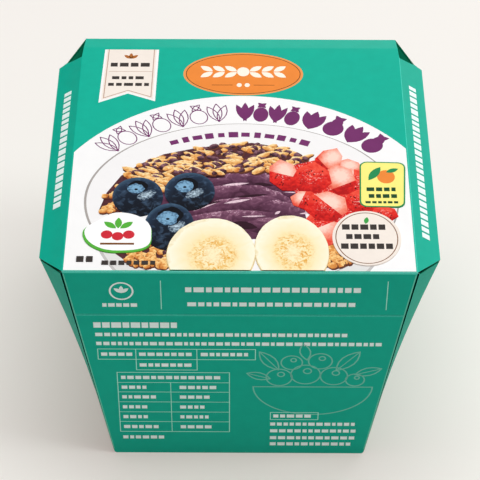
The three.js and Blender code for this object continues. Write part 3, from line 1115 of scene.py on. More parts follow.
def crumb_kind(dice, small):
    """Half sizes, turn and ink slot of one crumb: a small lump, a flat flake, or a dark piece of fruit."""
    kind = dice.random()
    if small:
        size = dice.uniform(1.0, 1.7)
        return size, size * dice.uniform(0.8, 1.1), dice.uniform(-70, 70), 1
    if kind < LUMPS_BELOW:
        size = dice.uniform(1.0, 1.6)
        return size, size * 0.9, dice.uniform(-70, 70), 1
    if kind < FLAKES_BELOW:
        size = dice.uniform(1.9, 3.6)
        return size, dice.uniform(0.8, 1.4), dice.uniform(-32, 38), 2
    size = dice.uniform(0.9, 1.8)
    return size, size * dice.uniform(0.7, 1), dice.uniform(-70, 70), 3


def scatter_crumbs(bm, outline, count, dice, small_until):
    """Crumbs at random in an outline, far ones first. Left of small_until they are small and golden."""
    places = sorted((point_in(outline, dice) for _ in range(count)), key=lambda place: -place.y)
    for order, place in enumerate(places):
        height = order * CEREAL_STEP
        rx, ry, turn, slot = crumb_kind(dice, place.x < small_until)
        blob(bm, place.x + 0.2, place.y - 0.45, rx * 1.06, ry * 1.12, dice, turn, 0.1, 9, height, 0)
        blob(bm, place.x, place.y, rx, ry, dice, turn, 0.18, 9, height + CEREAL_STEP / 2, slot)

# %% Lay the cereal
dice = random.Random(11)
bm = new_drawing()
scatter_crumbs(bm, CEREAL, 360, dice, -38)
scatter_crumbs(bm, CEREAL_LOW_LEFT, 90, dice, -24)
scatter_crumbs(bm, CEREAL_LOW_RIGHT, 60, dice, 60)
keep_inside(bm, low=TOP_LOW)
print_on(top_print, bm, "cereal", 8, [crumb_shadow, crumb_gold, crumb_pale, crumb_dark])

# %% [markdown]
# The smooth purple fruit in the middle has been spooned in folds. Each fold is a long flat shape that is
# dark along its foot and catches a speckled light along its head, and each lies over the one behind it. A
# few dark hollows open between the folds, and thin wet lights run along their edges.

# %% Inks of the purple fruit
def fold_ink():
    """Ink of one fold: dark at its foot, speckled with light at its head."""
    material, nodes, links, shader = new_material("purple_fruit_ink")
    place = add_paper_relief(nodes, links, shader)
    across = split(nodes, links, local_place(nodes))[1]
    grain = noise(nodes, links, place, 3 * MM, 4, 1.6)
    speckle = noise(nodes, links, place, 0.6 * MM, 2)
    shade = math_node(nodes, links, "ADD", math_node(nodes, links, "MULTIPLY", across, 0.7),
                      math_node(nodes, links, "MULTIPLY", grain, 1.6))
    base = ramp(nodes, links, band(nodes, links, shade, -0.1, 1.8),
                [(0, srgb(44, 18, 34)), (0.35, srgb(78, 40, 62)), (0.6, srgb(102, 60, 84)),
                 (0.85, srgb(140, 92, 116)), (1, srgb(120, 84, 112))])
    lit = math_node(nodes, links, "MULTIPLY", band(nodes, links, shade, 1.25, 1.6),
                    band(nodes, links, speckle, 0.48, 0.62))
    links.new(mix(nodes, links, lit, base, srgb(214, 176, 194)), shader.inputs["Base Color"])
    return material


purple_fruit = fold_ink()
wet_light = ink("wet_light_ink", srgb(226, 196, 208), drift=0.25, drift_size=0.8 * MM)
deep_hollow = ink("deep_purple_ink", srgb(48, 20, 34), drift=0.2)
print("purple inks:", purple_fruit.name, wet_light.name, deep_hollow.name)

# %% Folds of purple fruit
FRUIT_BED = [(-30, -20), (-25, -13), (-14, -9), (-4, -8.5), (6, -9.5), (13, -13), (18, -20), (21, -30),
             (22, -38), (14, -46), (0, -47), (-14, -46), (-24, -38), (-30, -28)]
# x, y, half length, half width and turn of each fold, far ones first
FRUIT_FOLDS = [
    (-10, -13.2, 14, 3.4, 3), (5, -13.5, 10, 4, -24), (-2, -18, 16, 4.2, 6), (10, -20, 9, 4.4, -36),
    (-7, -24.5, 14, 4, 10), (9, -26, 10, 4.2, -30), (-2, -31, 17, 4.4, 12), (14, -33, 8, 5, -22),
    (-4, -38, 18, 5, 8), (12, -41, 10, 4.6, -8)]
# x, y, length, width and turn of each dark hollow, and then of each wet light
HOLLOWS = [
    (-9.5, -15.6, 10, 1.7, -3), (8, -19.6, 6.5, 1.5, -10), (1.5, -40, 9, 3.6, -16),
    (-12, -29.5, 12, 1.4, 12), (4, -25.4, 11, 1.2, 8)]
LIGHTS = [
    (-10, -14, 9, 0.5, 1), (-1.5, -19.6, 9, 1.2, 8), (-1, -28.2, 9, 1.3, 14), (4.5, -35.6, 8, 0.7, 3),
    (12.4, -33.8, 2.4, 1.1, 40), (17.5, -23.6, 6, 0.5, -2), (21.4, -34, 3.6, 0.7, 10),
    (-11.5, -31, 9, 0.5, 28)]
dice = random.Random(17)
bm = new_drawing()
bed = patch(bm, FRUIT_BED)
round_corners(bm, bed, 2)
for step, (x, y, rx, ry, turn) in enumerate(FRUIT_FOLDS):
    blob(bm, x, y, rx, ry, dice, turn, 0.09, 28, (step + 1) * HAIR)
for step, (x, y, length, width, turn) in enumerate(HOLLOWS):
    leaf(bm, x, y, length, width, turn, (len(FRUIT_FOLDS) + step + 1) * HAIR, 1)
for step, (x, y, length, width, turn) in enumerate(LIGHTS):
    leaf(bm, x, y, length, width, turn, (len(FRUIT_FOLDS) + len(HOLLOWS) + step + 1) * HAIR, 2)
print_on(top_print, bm, "purple_fruit", 4.5, [purple_fruit, deep_hollow, wet_light])

# %% [markdown]
# A blueberry is nearly black, with a cool light round its upper edge and a dull bloom. Where its flower was
# there is a pale blue hollow with a ragged edge, dark on its far side, and a broken gloss lies to the lower
# right of the hollow.

# %% Inks of the blueberries
def blueberry_ink():
    """Nearly black, with a cool edge, a dark foot and a dull bloom."""
    material, nodes, links, shader = new_material("blueberry_ink")
    place = add_paper_relief(nodes, links, shader)
    local = local_place(nodes)
    middle = spot(nodes, links, local, 0.05, -0.16, 1.14, 1.14)
    base = ramp(nodes, links, middle, [
        (0, srgb(58, 84, 108)), (0.14, srgb(34, 50, 72)), (0.4, srgb(22, 32, 48)), (1, srgb(18, 26, 40))])
    foot = band(nodes, links, split(nodes, links, local)[1], 0.1, -0.75)
    base = mix(nodes, links, foot, base, srgb(12, 16, 26))
    bloom = noise(nodes, links, place, 2.2 * MM, 4, 0.6)
    base = mix(nodes, links, band(nodes, links, bloom, 0.5, 1.0), base, srgb(84, 112, 144))
    links.new(base, shader.inputs["Base Color"])
    return material


def speckled_ink(name, ground, speck, start, end, size):
    """A ground with fine specks of another colour in it."""
    material, nodes, links, shader = new_material(name)
    place = add_paper_relief(nodes, links, shader)
    fleck = noise(nodes, links, place, size, 2)
    edge = spot(nodes, links, local_place(nodes), 0, 0, 1, 1)
    amount = math_node(nodes, links, "ADD", fleck, math_node(nodes, links, "MULTIPLY", edge, 0.35))
    links.new(mix(nodes, links, band(nodes, links, amount, start, end), ground, speck),
              shader.inputs["Base Color"])
    return material


blueberry = blueberry_ink()
berry_hollow = speckled_ink("blueberry_crown_ink", srgb(66, 98, 128), srgb(126, 172, 204), 0.4, 0.72,
                            0.9 * MM)
berry_gloss = speckled_ink("blueberry_gloss_ink", srgb(38, 56, 78), srgb(190, 212, 226), 0.5, 0.9,
                           0.7 * MM)
berry_dark = ink("blueberry_shade_ink", srgb(9, 12, 20), drift=0.2)
print("berry inks:", blueberry.name, berry_hollow.name, berry_gloss.name, berry_dark.name)

# %% Blueberries
# x, y, half width, half height, turn, then the place and the half size of the hollow within the berry
BERRIES = [(-34, -26.3, 8.45, 9.8, 4, -0.05, 0.42, 0.32, 0.25),
           (-16.8, -23.5, 8.4, 9.5, 0, -0.2, 0.26, 0.37, 0.3),
           (-23.2, -41, 8.2, 11.4, -2, -0.08, 0.36, 0.42, 0.31)]
bm = new_drawing()
for step, (x, y, rx, ry, turn, hollow_x, hollow_y, hollow_rx, hollow_ry) in enumerate(BERRIES):
    height = step * 5 * HAIR
    place = placed(x, y, rx, ry, turn)
    centre = place @ Vector((hollow_x, hollow_y, 0))
    shade = place @ Vector((hollow_x + 0.1, hollow_y + 0.1, 0))
    gloss = place @ Vector((hollow_x + 0.4, hollow_y - 0.36, 0))
    dark_spot = place @ Vector((hollow_x, hollow_y - 0.04, 0))
    disc(bm, x, y, rx, ry, turn, 40, height)
    blob(bm, gloss.x, gloss.y, rx * 0.42, ry * 0.22, dice, 38, 0.1, 20, height + HAIR, 2)
    blob(bm, shade.x, shade.y, rx * hollow_rx * 1.2, ry * hollow_ry * 1.2, dice, turn, 0.1, 20,
         height + 2 * HAIR, 3)
    blob(bm, centre.x, centre.y, rx * hollow_rx, ry * hollow_ry, dice, turn, 0.14, 15,
         height + 3 * HAIR, 1)
    disc(bm, dark_spot.x, dark_spot.y, 0.6, 0.5, turn, 10, height + 4 * HAIR, 3)
print_on(top_print, bm, "blueberries", 24, [blueberry, berry_hollow, berry_gloss, berry_dark])

# %% [markdown]
# The red fruit is chopped, so each piece shows skin on one side and a pale cut face on the other. A piece is
# an uneven shape with seven corners, parted by one straight cut, and its skin is sprinkled with seeds.

# %% Inks of the red fruit
def skin_ink():
    """Red skin, lighter at its head, with a broken gloss in the middle."""
    material, nodes, links, shader = new_material("red_skin_ink")
    place = add_paper_relief(nodes, links, shader)
    local = local_place(nodes)
    head = split(nodes, links, local)[1]
    mottle = noise(nodes, links, place, 1.6 * MM, 3, 0.6)
    shade = math_node(nodes, links, "ADD", math_node(nodes, links, "MULTIPLY", head, 0.3), mottle)
    base = ramp(nodes, links, shade, [
        (0.2, srgb(178, 18, 20)), (0.5, srgb(222, 36, 30)), (0.85, srgb(242, 84, 64))])
    fleck = noise(nodes, links, place, 0.7 * MM, 2)
    gloss = math_node(nodes, links, "MULTIPLY", spot(nodes, links, local, 0, 0.1, 0.7, 0.6),
                      band(nodes, links, fleck, 0.55, 0.7))
    links.new(mix(nodes, links, gloss, base, srgb(255, 216, 206)), shader.inputs["Base Color"])
    return material


def flesh_ink():
    """A cut face, pale in its middle and streaked towards its edge."""
    material, nodes, links, shader = new_material("red_flesh_ink")
    place = add_paper_relief(nodes, links, shader)
    local = local_place(nodes)
    pale = spot(nodes, links, local, 0.1, 0.3, 1.1, 1.0)
    streak = noise(nodes, links, place, 1.8 * MM, 3, 1.5)
    shade = math_node(nodes, links, "ADD", pale, math_node(nodes, links, "MULTIPLY", streak, 0.5))
    links.new(ramp(nodes, links, shade, [(0.2, srgb(226, 66, 50)), (0.5, srgb(244, 138, 114)),
                                         (0.95, srgb(252, 214, 198))]), shader.inputs["Base Color"])
    return material


red_skin = skin_ink()
red_flesh = flesh_ink()
seed_ink = ink("red_fruit_seed_ink", srgb(112, 20, 16), drift=0.2)
print("red inks:", red_skin.name, red_flesh.name, seed_ink.name)

# %% Pieces of red fruit
# x, y, half width, half height, turn, way the cut face looks in degrees, how far out it starts
RED_PIECES = [
    (36.5, -11, 4.6, 4.4, 0, 90, -2), (30.2, -7.2, 4.6, 6.4, -24, 30, -0.5),
    (15, -15.6, 5.2, 8.2, 10, 70, 0.1), (42.5, -28, 7, 7, 0, 90, 2),
    (38.5, -19.5, 6.5, 9, 8, 175, 0.1), (33.6, -17.5, 5.6, 7.6, 6, 120, -0.4),
    (24.2, -16.8, 7.2, 8, -6, 90, 2), (39.5, -28.5, 5, 6.2, 0, 90, 2),
    (47.5, -34.5, 4.6, 4, 0, 90, 2), (21.4, -27.6, 4.6, 4.8, 20, 160, 0.2),
    (27.2, -42, 6, 8.4, 24, -60, -0.2), (28.6, -31, 7.4, 7.6, -4, 40, 0.15),
]
RED_BED = [(14, -15), (18, -10), (26, -7), (38, -12), (44, -22), (50, -32), (42, -38), (34, -46), (27, -46),
           (25, -36), (22, -30), (17, -21)]


def parted_piece(bm, x, y, rx, ry, turn, facing, start, dice, z):
    """An uneven piece of fruit. The part of it beyond a straight line is its cut face."""
    face = blob(bm, x, y, rx, ry, dice, turn, 0.1, 7, z, 0)
    look = math.radians(facing)
    outward = Vector((math.cos(look), math.sin(look), 0))
    line = Vector((x, y, z)) + outward * start * (rx + ry) / 2
    parts = [face] + face.edges[:] + face.verts[:]
    cut = bmesh.ops.bisect_plane(bm, geom=parts, dist=CUT_EXACTNESS, plane_co=line, plane_no=outward)
    for item in cut["geom"]:
        if isinstance(item, bmesh.types.BMFace) and (item.calc_center_median() - line).dot(outward) > 0:
            item.material_index = 1


dice = random.Random(5)
bm = new_drawing()
patch(bm, RED_BED)
for step, (x, y, rx, ry, turn, facing, start) in enumerate(RED_PIECES):
    parted_piece(bm, x, y, rx, ry, turn, facing, start, dice, (step + 1) * HAIR)
print_on(top_print, bm, "red_fruit", 24, [red_skin, red_flesh])

# %% Seeds on the red skin
SEEDS_TRIED = 9
bm = new_drawing()
for x, y, rx, ry, turn, facing, start in RED_PIECES:
    look = math.radians(facing)
    for _ in range(SEEDS_TRIED):
        spot_x, spot_y = dice.uniform(-0.6, 0.6), dice.uniform(-0.6, 0.6)
        if spot_x * math.cos(look) + spot_y * math.sin(look) < start - 0.1:
            leaf(bm, x + spot_x * rx, y + spot_y * ry, 0.9, 0.5, dice.uniform(40, 140), steps=8)
print_on(top_print, bm, "red_fruit_seeds", 28, [seed_ink])

# %% [markdown]
# Two slices of banana lie in front, cut off by the fold. A slice is cream with a paler edge, and round its
# middle soft ochre streaks gather in an uneven ring, with a few brown ones among them.

# %% Ink of the banana
def banana_ink():
    """Cream, with streaks in a ring round the middle of the slice."""
    material, nodes, links, shader = new_material("banana_ink")
    place = add_paper_relief(nodes, links, shader)
    local = local_place(nodes)
    cloud = noise(nodes, links, place, 4.5 * MM, 3, 1.0)
    centre = spot(nodes, links, local, 0.05, -0.06, 1, 1)
    shade = math_node(nodes, links, "ADD", centre, math_node(nodes, links, "MULTIPLY", cloud, 0.35))
    base = ramp(nodes, links, shade, [
        (0.12, srgb(240, 226, 186)), (0.2, srgb(254, 246, 222)), (0.4, srgb(253, 239, 204)),
        (0.7, srgb(250, 230, 176)), (0.95, srgb(252, 238, 196))])
    fibre = noise(nodes, links, place, 1.5 * MM, 4, 1.4)
    near = math_node(nodes, links, "MULTIPLY", band(nodes, links, centre, 0.38, 0.62),
                     band(nodes, links, centre, 0.98, 0.74))
    streak = math_node(nodes, links, "MULTIPLY", near, band(nodes, links, fibre, 0.42, 0.62))
    base = mix(nodes, links, streak, base, srgb(238, 186, 92))
    warm = math_node(nodes, links, "MULTIPLY", near, band(nodes, links, fibre, 0.6, 0.7))
    links.new(mix(nodes, links, warm, base, srgb(222, 146, 50)), shader.inputs["Base Color"])
    return material


banana = banana_ink()
banana_edge = ink("banana_edge_ink", srgb(228, 206, 154), drift=0.08)
print("banana inks:", banana.name, banana_edge.name)

# %% Banana slices
SLICES = [(16.8, -52.1, 11.9, 16.7, 4), (-9.3, -53.8, 14.2, 16.8, -3)]
bm = new_drawing()
for step, (x, y, rx, ry, turn) in enumerate(SLICES):
    disc(bm, x, y - 0.5, rx + 0.2, ry + 0.1, turn, 64, step * 2 * HAIR, 1)
    blob(bm, x, y, rx, ry, dice, turn, 0.008, 64, (step * 2 + 1) * HAIR)
keep_inside(bm, low=TOP_LOW)
print_on(top_print, bm, "banana_slices", 30, [banana, banana_edge])

# %% [markdown]
# Three labels lie over the picture: a white one like a leaf with a green rim on the left, a rounded yellow
# one on the right, and a round beige one below that. Each is a field with a rim or a thin line, a small
# plain drawing and a few bars, stacked in that order so that the later lies over the earlier.

# %% White label with a green rim
leaf_green = ink("leaf_green_ink", srgb(86, 176, 60), drift=0.04)
label_white = ink("label_white_ink", srgb(252, 252, 252), drift=0.01)
berry_red = ink("berry_red_ink", srgb(206, 44, 58), drift=0.05)
LABEL_X, LABEL_Y, LABEL_RX, LABEL_RY = -39.8, -43.5, 11, 9.3
LABEL_LAYER = 32


def corner_oval(bm, x, y, rx, ry, z=0, ink_slot=0):
    """An oval whose lower right quarter is drawn out to a corner."""
    face = disc(bm, x, y, rx, ry, steps=64, z=z, ink_slot=ink_slot)

    def drawn_out(px, py):
        pull = max(0, px * -py) ** 2 * 1.1
        return px + pull * 0.55, py - pull * 0.3

    return reshape(bm, face, placed(x, y, rx, ry, z=z), drawn_out)


bm = new_drawing()
corner_oval(bm, LABEL_X - 0.2, LABEL_Y - 0.7, LABEL_RX + 0.3, LABEL_RY + 0.3)
corner_oval(bm, LABEL_X, LABEL_Y, LABEL_RX - 0.1, LABEL_RY - 0.1, HAIR, 1)
print_on(top_print, bm, "leaf_label", LABEL_LAYER, [leaf_green, label_white])
bm = new_drawing()
for order, tilt in enumerate((-52, 0, 52)):
    reach = math.radians(tilt)
    leaf(bm, LABEL_X + 3.4 * math.sin(reach), LABEL_Y + 1.4 + 2.6 * math.cos(reach), 5.2, 2.4, 90 - tilt,
         order * HAIR)
for order, (side, drop) in enumerate(((-3.6, 1.6), (3.6, 1.6), (0, 2.4))):
    disc(bm, LABEL_X + side, LABEL_Y - drop, 1.9, 2.0, z=(order + 3) * HAIR, ink_slot=1)
bar(bm, LABEL_X, LABEL_Y - 6, 11, 0.9, ink_slot=2)
print_on(top_print, bm, "leaf_label_drawing", LABEL_LAYER + 1, [leaf_green, berry_red, seal_line])

# %% Lines of small print at the front left
bm = new_drawing()
words(bm, -52.6, -45.4, -56.6, 2.4, dice, 1.6, 2.4)
words(bm, -44.4, -26, -58.3, 1.7, dice, 1.4, 2.2, 0.7)
print_on(top_print, bm, "front_left_words", LABEL_LAYER, [black_ink])

# %% Yellow label
rim_green = ink("rim_green_ink", srgb(38, 140, 84), drift=0.05)
yellow_ink = ink("yellow_ink", srgb(251, 240, 132), drift=0.02)
word_green = ink("word_green_ink", srgb(30, 74, 44), drift=0.1)
YELLOW_X, YELLOW_Y = 47.6, -19.6
YELLOW_CORNERS = [(40.4, -7.9), (55.9, -8.4), (54.6, -31.2), (39.6, -31)]
bm = new_drawing()
rim = patch(bm, YELLOW_CORNERS)
round_corners(bm, rim, 2.6)
print_on(top_print, bm, "yellow_label_rim", LABEL_LAYER, [rim_green])
bm = new_drawing()
field = inset_outline(bm, YELLOW_CORNERS, 0.5)
round_corners(bm, field, 2.2)
print_on(top_print, bm, "yellow_label", LABEL_LAYER + 1, [yellow_ink])
bm = new_drawing()
disc(bm, YELLOW_X + 1.4, YELLOW_Y + 3.8, 3.0, 3.4, ink_slot=1)
leaf(bm, YELLOW_X - 2.4, YELLOW_Y + 5.4, 8, 3, 58, HAIR)
leaf(bm, YELLOW_X + 3.6, YELLOW_Y + 7, 4.6, 2, 24, 2 * HAIR)
print_on(top_print, bm, "yellow_label_drawing", LABEL_LAYER + 2, [rim_green, orange_ink])
bm = new_drawing()
words(bm, 42.2, 53, -22.2, 1.9, dice, 1.4, 2.6, 0.6)
words(bm, 42.8, 52.2, -25.6, 1.9, dice, 1.4, 2.6, 0.6)
words(bm, 41.6, 53, -28.7, 1.1, dice, 0.9, 1.8, 0.5)
print_on(top_print, bm, "yellow_label_words", LABEL_LAYER + 2, [word_green])

# %% Round beige label
ROUND_X, ROUND_Y = 41.3, -46.2
BADGE_RX, BADGE_RY = 11.2, 13.1
drop_green = ink("drop_green_ink", srgb(62, 160, 74), drift=0.06)
bm = new_drawing()
disc(bm, ROUND_X, ROUND_Y, BADGE_RX, BADGE_RY, steps=72)
print_on(top_print, bm, "round_label", LABEL_LAYER + 2, [beige_ink])
bm = new_drawing()
ring(bm, ROUND_X, ROUND_Y, BADGE_RX - 1, BADGE_RY - 0.8, 0.3, 72)
print_on(top_print, bm, "round_label_line", LABEL_LAYER + 3, [seal_line])
bm = new_drawing()
leaf(bm, ROUND_X + 0.2, ROUND_Y + 8.4, 3.4, 1.6, 80)
print_on(top_print, bm, "round_label_drop", LABEL_LAYER + 3, [drop_green])
bm = new_drawing()
words(bm, 33.4, 48.8, -41, 2.6, dice, 2, 2.7, 0.6)
words(bm, 34.6, 47.6, -45.6, 2.4, dice, 1.9, 2.6, 0.6)
words(bm, 32.8, 49.6, -50.2, 2.6, dice, 2, 2.7, 0.6)
print_on(top_print, bm, "round_label_words", LABEL_LAYER + 3, [black_ink])

# %% [markdown]
# The front panel is plain green with small white print: a mark and two lines near the fold, a block of
# lines and boxes below the crease, a narrow table on the left, and a pale line drawing on the right. Each
# line of print is a row of bars of uneven length. Solid bars are whiter than thin print of the same height,
# so they are lower than a line of print would be.

# %% Lines of print on the front
front_white = ink("front_white_ink", srgb(238, 255, 250), drift=0.03)
line_ink = ink("pale_line_ink", srgb(178, 245, 226), drift=0.03)
FRONT_LAYER = 2
SMALL_PRINT, LARGE_PRINT = 1.7, 2.3
LINE_WIDTH = 0.26
dice = random.Random(8)
bm = new_drawing()
words(bm, -17.6, 39.7, -8.8, LARGE_PRINT, dice, 1.6, 3.4, 0.7)
words(bm, -17, 39.3, -15.9, SMALL_PRINT + 0.2, dice, 1.4, 3.0, 0.7)
words(bm, -44.7, -32.8, -16.4, SMALL_PRINT, dice, 1.2, 2.2, 0.5)
words(bm, -48.1, -20.6, -26.4, LARGE_PRINT + 0.4, dice, 2.0, 3.4, 0.5)
for left, right, down in ((-47.7, 36.7, 31.2), (-47.6, 47.9, 35.8), (-40.5, -25.6, 86.3)):
    words(bm, left, right, -down, SMALL_PRINT, dice, 1.2, 2.6, 0.6)
for down in (78.7, 82.5, 86.4, 89.9):
    words(bm, 10.8, 40.6, -down, SMALL_PRINT, dice, 1.2, 2.6, 0.6)
print_on(front_print, bm, "front_words", FRONT_LAYER, [front_white])

# %% [markdown]
# Along its two side edges the front panel's green is rubbed to a thin pale line, which sets it off from the
# dark gap behind. A thin slab of paler ink down each edge shows it.

# %% Rubbed side edges
rubbed_ink = ink("rubbed_green_edge", srgb(105, 205, 178), drift=0.1)
EDGE_LINE = 0.38
EDGE_HIGH, EDGE_LOW = 1.3, 93
panel_length = (front_top - on_middle(foot_front)).length / MM
lean = (TOP_HALF - FOOT_HALF) / MM / panel_length
bm = new_drawing()
for side in (-1, 1):
    line = []
    for down, inset in ((EDGE_HIGH, 0), (EDGE_LOW, 0), (EDGE_LOW, EDGE_LINE), (EDGE_HIGH, EDGE_LINE)):
        line.append((side * (TOP_HALF / MM - lean * down - inset), -down))
    patch(bm, line)
print_on(front_print, bm, "rubbed_front_edges", 1, [rubbed_ink])

# %% [markdown]
# The mark is three leaves in a ring. Between it and the two lines beside it stands an upright rule, with
# another at their end. Below the crease the boxes are drawn as outlines with walls between them.

# %% Mark and rules
bm = new_drawing()
ring(bm, -38.3, -9.6, 4.0, 4.3, 0.6, 40)
for order, tilt in enumerate((-50, 0, 50)):
    reach = math.radians(tilt)
    leaf(bm, -38.3 + 1.4 * math.sin(reach), -10.3 + 1.5 * math.cos(reach), 3.4, 1.5, 90 - tilt, order * HAIR)
print_on(front_print, bm, "front_mark", FRONT_LAYER, [front_white])
bm = new_drawing()
for x in (-25.5, 47.8):
    bar(bm, x, -11.4, LINE_WIDTH, 13.9)
print_on(front_print, bm, "front_rules", FRONT_LAYER, [line_ink])

# %% Boxes
def box_line(bm, left, right, top, foot):
    """The outline of a box, by its distances down from the fold."""
    box = patch(bm, [(left, -top), (left, -foot), (right, -foot), (right, -top)])
    keep_line(bm, [box], LINE_WIDTH)


BOX_TOP, BOX_FOOT, LOW_FOOT = 38.5, 44.1, 49.6
BOX_WALLS = (-34.6, -14.2)
bm = new_drawing()
box_line(bm, -47.4, 5.5, BOX_TOP, BOX_FOOT)
box_line(bm, 10.7, 27.4, 72.1, 76.3)
for x in BOX_WALLS:
    bar(bm, x, -(BOX_TOP + BOX_FOOT) / 2, LINE_WIDTH, BOX_FOOT - BOX_TOP - 2 * LINE_WIDTH)
    bar(bm, x, -(BOX_FOOT + LOW_FOOT) / 2, LINE_WIDTH, LOW_FOOT - BOX_FOOT)
wall_gap = BOX_WALLS[1] - BOX_WALLS[0]
bar(bm, sum(BOX_WALLS) / 2, LINE_WIDTH / 2 - LOW_FOOT, wall_gap - LINE_WIDTH, LINE_WIDTH)
print_on(front_print, bm, "front_boxes", FRONT_LAYER, [line_ink])
bm = new_drawing()
for left, right, down in (
    (-46.2, -35.8, 41.3), (-33.5, -15.2, 41.3), (-12.9, 4.5, 41.3), (-33.5, -15.2, 46.9), (11.8, 26.3, 74.2),
):
    words(bm, left, right, -down, SMALL_PRINT, dice, 1.2, 2.6, 0.6)
print_on(front_print, bm, "front_box_words", FRONT_LAYER, [front_white])

# %% [markdown]
# The table is one box with thin rows, a divider down its middle that starts below the first row, and short
# rows of bars on both sides of it.

# %% Table
TABLE_LEFT, TABLE_RIGHT, TABLE_MIDDLE = -41.4, -3.2, -23.3
TABLE_ROWS = (50.7, 56.2, 61.3, 66.7, 72.2, 77.6, 83.3)
ROW_LINE = LINE_WIDTH * 0.8
row_length = TABLE_RIGHT - TABLE_LEFT - 2 * LINE_WIDTH
body_top, body_foot = TABLE_ROWS[1], TABLE_ROWS[-1]
bm = new_drawing()
box_line(bm, TABLE_LEFT, TABLE_RIGHT, TABLE_ROWS[0], TABLE_ROWS[-1])
for down in TABLE_ROWS[1:-1]:
    bar(bm, (TABLE_LEFT + TABLE_RIGHT) / 2, -down, row_length, ROW_LINE)
print_on(front_print, bm, "table_lines", FRONT_LAYER, [line_ink])
bm = new_drawing()
bar(bm, TABLE_MIDDLE, -(body_top + body_foot) / 2, ROW_LINE, body_foot - body_top)
print_on(front_print, bm, "table_divider", FRONT_LAYER - 1, [line_ink])
bm = new_drawing()
words(bm, -40.0, -5, -53.5, SMALL_PRINT, dice, 1.2, 2.4, 0.6)
for upper, lower in zip(TABLE_ROWS[1:], TABLE_ROWS[2:]):
    middle = -(upper + lower) / 2
    for start, inset, shortest, longest in ((TABLE_LEFT, 1.4, 9, 15), (TABLE_MIDDLE, 3, 11, 17)):
        end = start + dice.uniform(shortest, longest)
        words(bm, start + inset, end, middle, SMALL_PRINT, dice, 1.2, 2.4, 0.6)
print_on(front_print, bm, "table_words", FRONT_LAYER, [front_white])

# %% [markdown]
# The pale drawing is only lines, in a green a little lighter than the board: a bowl of fruit with leaves
# behind it. Each shape is filled first, and then only a line of even width round it is kept.

# %% Pale line drawing
pale_line = ink("pale_green_line", srgb(120, 200, 180), drift=0.05)
DRAWING_X, DRAWING_RIM, DRAWING_RX = 25, -58, 20.5
DRAWING_LINE = 0.45
bm = new_drawing()
disc(bm, DRAWING_X, DRAWING_RIM, DRAWING_RX, 15.5, steps=64)
keep_inside(bm, high=DRAWING_RIM)
keep_line(bm, bm.faces, DRAWING_LINE)
print_on(front_print, bm, "drawn_bowl", FRONT_LAYER - 1, [pale_line])
bm = new_drawing()
for x, y, size in (
    (13.5, -53.2, 4.6), (22.4, -51.6, 5.2), (32, -52.4, 4.8), (39.2, -54.4, 3.4), (17.6, -45.4, 3.8),
    (27.2, -44.6, 4.2),
):
    disc(bm, x, y, size, size, steps=32)
    disc(bm, x + 0.6, y + size * 0.35, size * 0.3, size * 0.3, steps=16, z=HAIR)
for x, y, length, width, turn in (
    (10, -44.5, 12, 5, 125), (6.5, -52.5, 9, 4, 160), (36.5, -44.5, 13, 5.4, 52), (43.5, -50, 10, 4.4, 20),
    (22, -39.8, 9, 4, 100),
):
    leaf(bm, x, y, length, width, turn)
keep_line(bm, bm.faces, DRAWING_LINE)
for x, y, length, turn in (
    (10, -44.5, 10, 125), (6.5, -52.5, 7, 160), (36.5, -44.5, 11, 52), (43.5, -50, 8, 20),
):
    bar(bm, x, y, length, DRAWING_LINE * 0.7, turn, HAIR)
print_on(front_print, bm, "drawn_fruit", FRONT_LAYER, [pale_line])

# %% [markdown]
# One line of white print runs along each side flap, read from the side.

# %% Print on the flaps
FLAP_LINE = -4.9
bm = new_drawing()
words(bm, -32.8, 29.6, FLAP_LINE, 3.0, dice, 1.8, 2.8, 0.9)
print_on(left_flap_print, bm, "left_flap_words", 1, [front_white])
bm = new_drawing()
words(bm, -43, 36.7, FLAP_LINE, 3.0, dice, 1.8, 2.8, 0.9)
print_on(right_flap_print, bm, "right_flap_words", 1, [front_white])

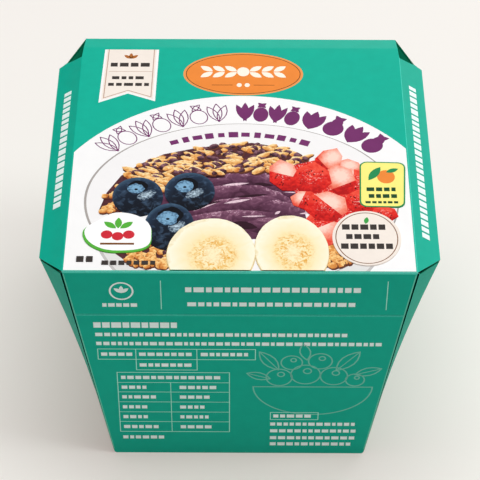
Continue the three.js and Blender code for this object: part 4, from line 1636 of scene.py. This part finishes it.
# %% [markdown]
# The pack stands on a plain pale table top. A wide lamp overhead and a little behind does most of the work,
# so the top panel is the brightest. A smaller one on the right lifts the right flap and sends the soft
# shadow to the left, and a low one behind gives only the faint gloss on the strip. The table top glows a
# little, because in a white studio it is lit from every side.

# %% Table top
FLOOR_GLOW = 0.33
TABLE_REACH = 3
floor_bm = bmesh.new()
bmesh.ops.create_grid(floor_bm, x_segments=1, y_segments=1, size=TABLE_REACH)
table_top, nodes, links, shader = new_material("pale_table_top", roughness=0.9, specular=0.2)
place = nodes.new("ShaderNodeTexCoord").outputs["Object"]
stops = [(0.3, srgb(202, 210, 206)), (0.7, srgb(206, 214, 209))]
links.new(ramp(nodes, links, noise(nodes, links, place, 0.3), stops), shader.inputs["Base Color"])
shader.inputs["Emission Color"].default_value = srgb(251, 215, 211)
shader.inputs["Emission Strength"].default_value = FLOOR_GLOW
floor = finish_piece(floor_bm, "table_top", [table_top])
print("table top reaches", TABLE_REACH, "m each way")

# %% Light from all round
SURROUND = 0.19
world = bpy.data.worlds.new("surround")
world.use_nodes = True
background = world.node_tree.nodes["Background"]
background.inputs["Color"].default_value = (1, 0.99, 0.97, 1)
background.inputs["Strength"].default_value = SURROUND
bpy.context.scene.world = world
print("surround strength:", SURROUND)

# %% Lamps
def area_light(name, place, aim, width, height, power):
    """A rectangular lamp at a place, facing a point."""
    data = bpy.data.lights.new(name, "AREA")
    data.shape = "RECTANGLE"
    data.size = width
    data.size_y = height
    data.energy = power
    lamp = bpy.data.objects.new(name, data)
    lamp.location = place
    lamp.rotation_euler = (place - aim).to_track_quat("Z", "Y").to_euler()
    bpy.context.collection.objects.link(lamp)
    return lamp


middle_of_pack = Vector((0, 0, HEIGHT / 2))
area_light("overhead_light", Vector((0.1, 0.35, 2.1)), middle_of_pack, 1.8, 1.8, 36)
area_light("side_light", Vector((1.2, -0.3, 1.6)), middle_of_pack, 0.6, 0.6, 9.5)
sheen = area_light("low_back_light", Vector((0.6, 1.6, 0.5)), middle_of_pack, 1.6, 0.7, 14)
sheen.visible_diffuse = False
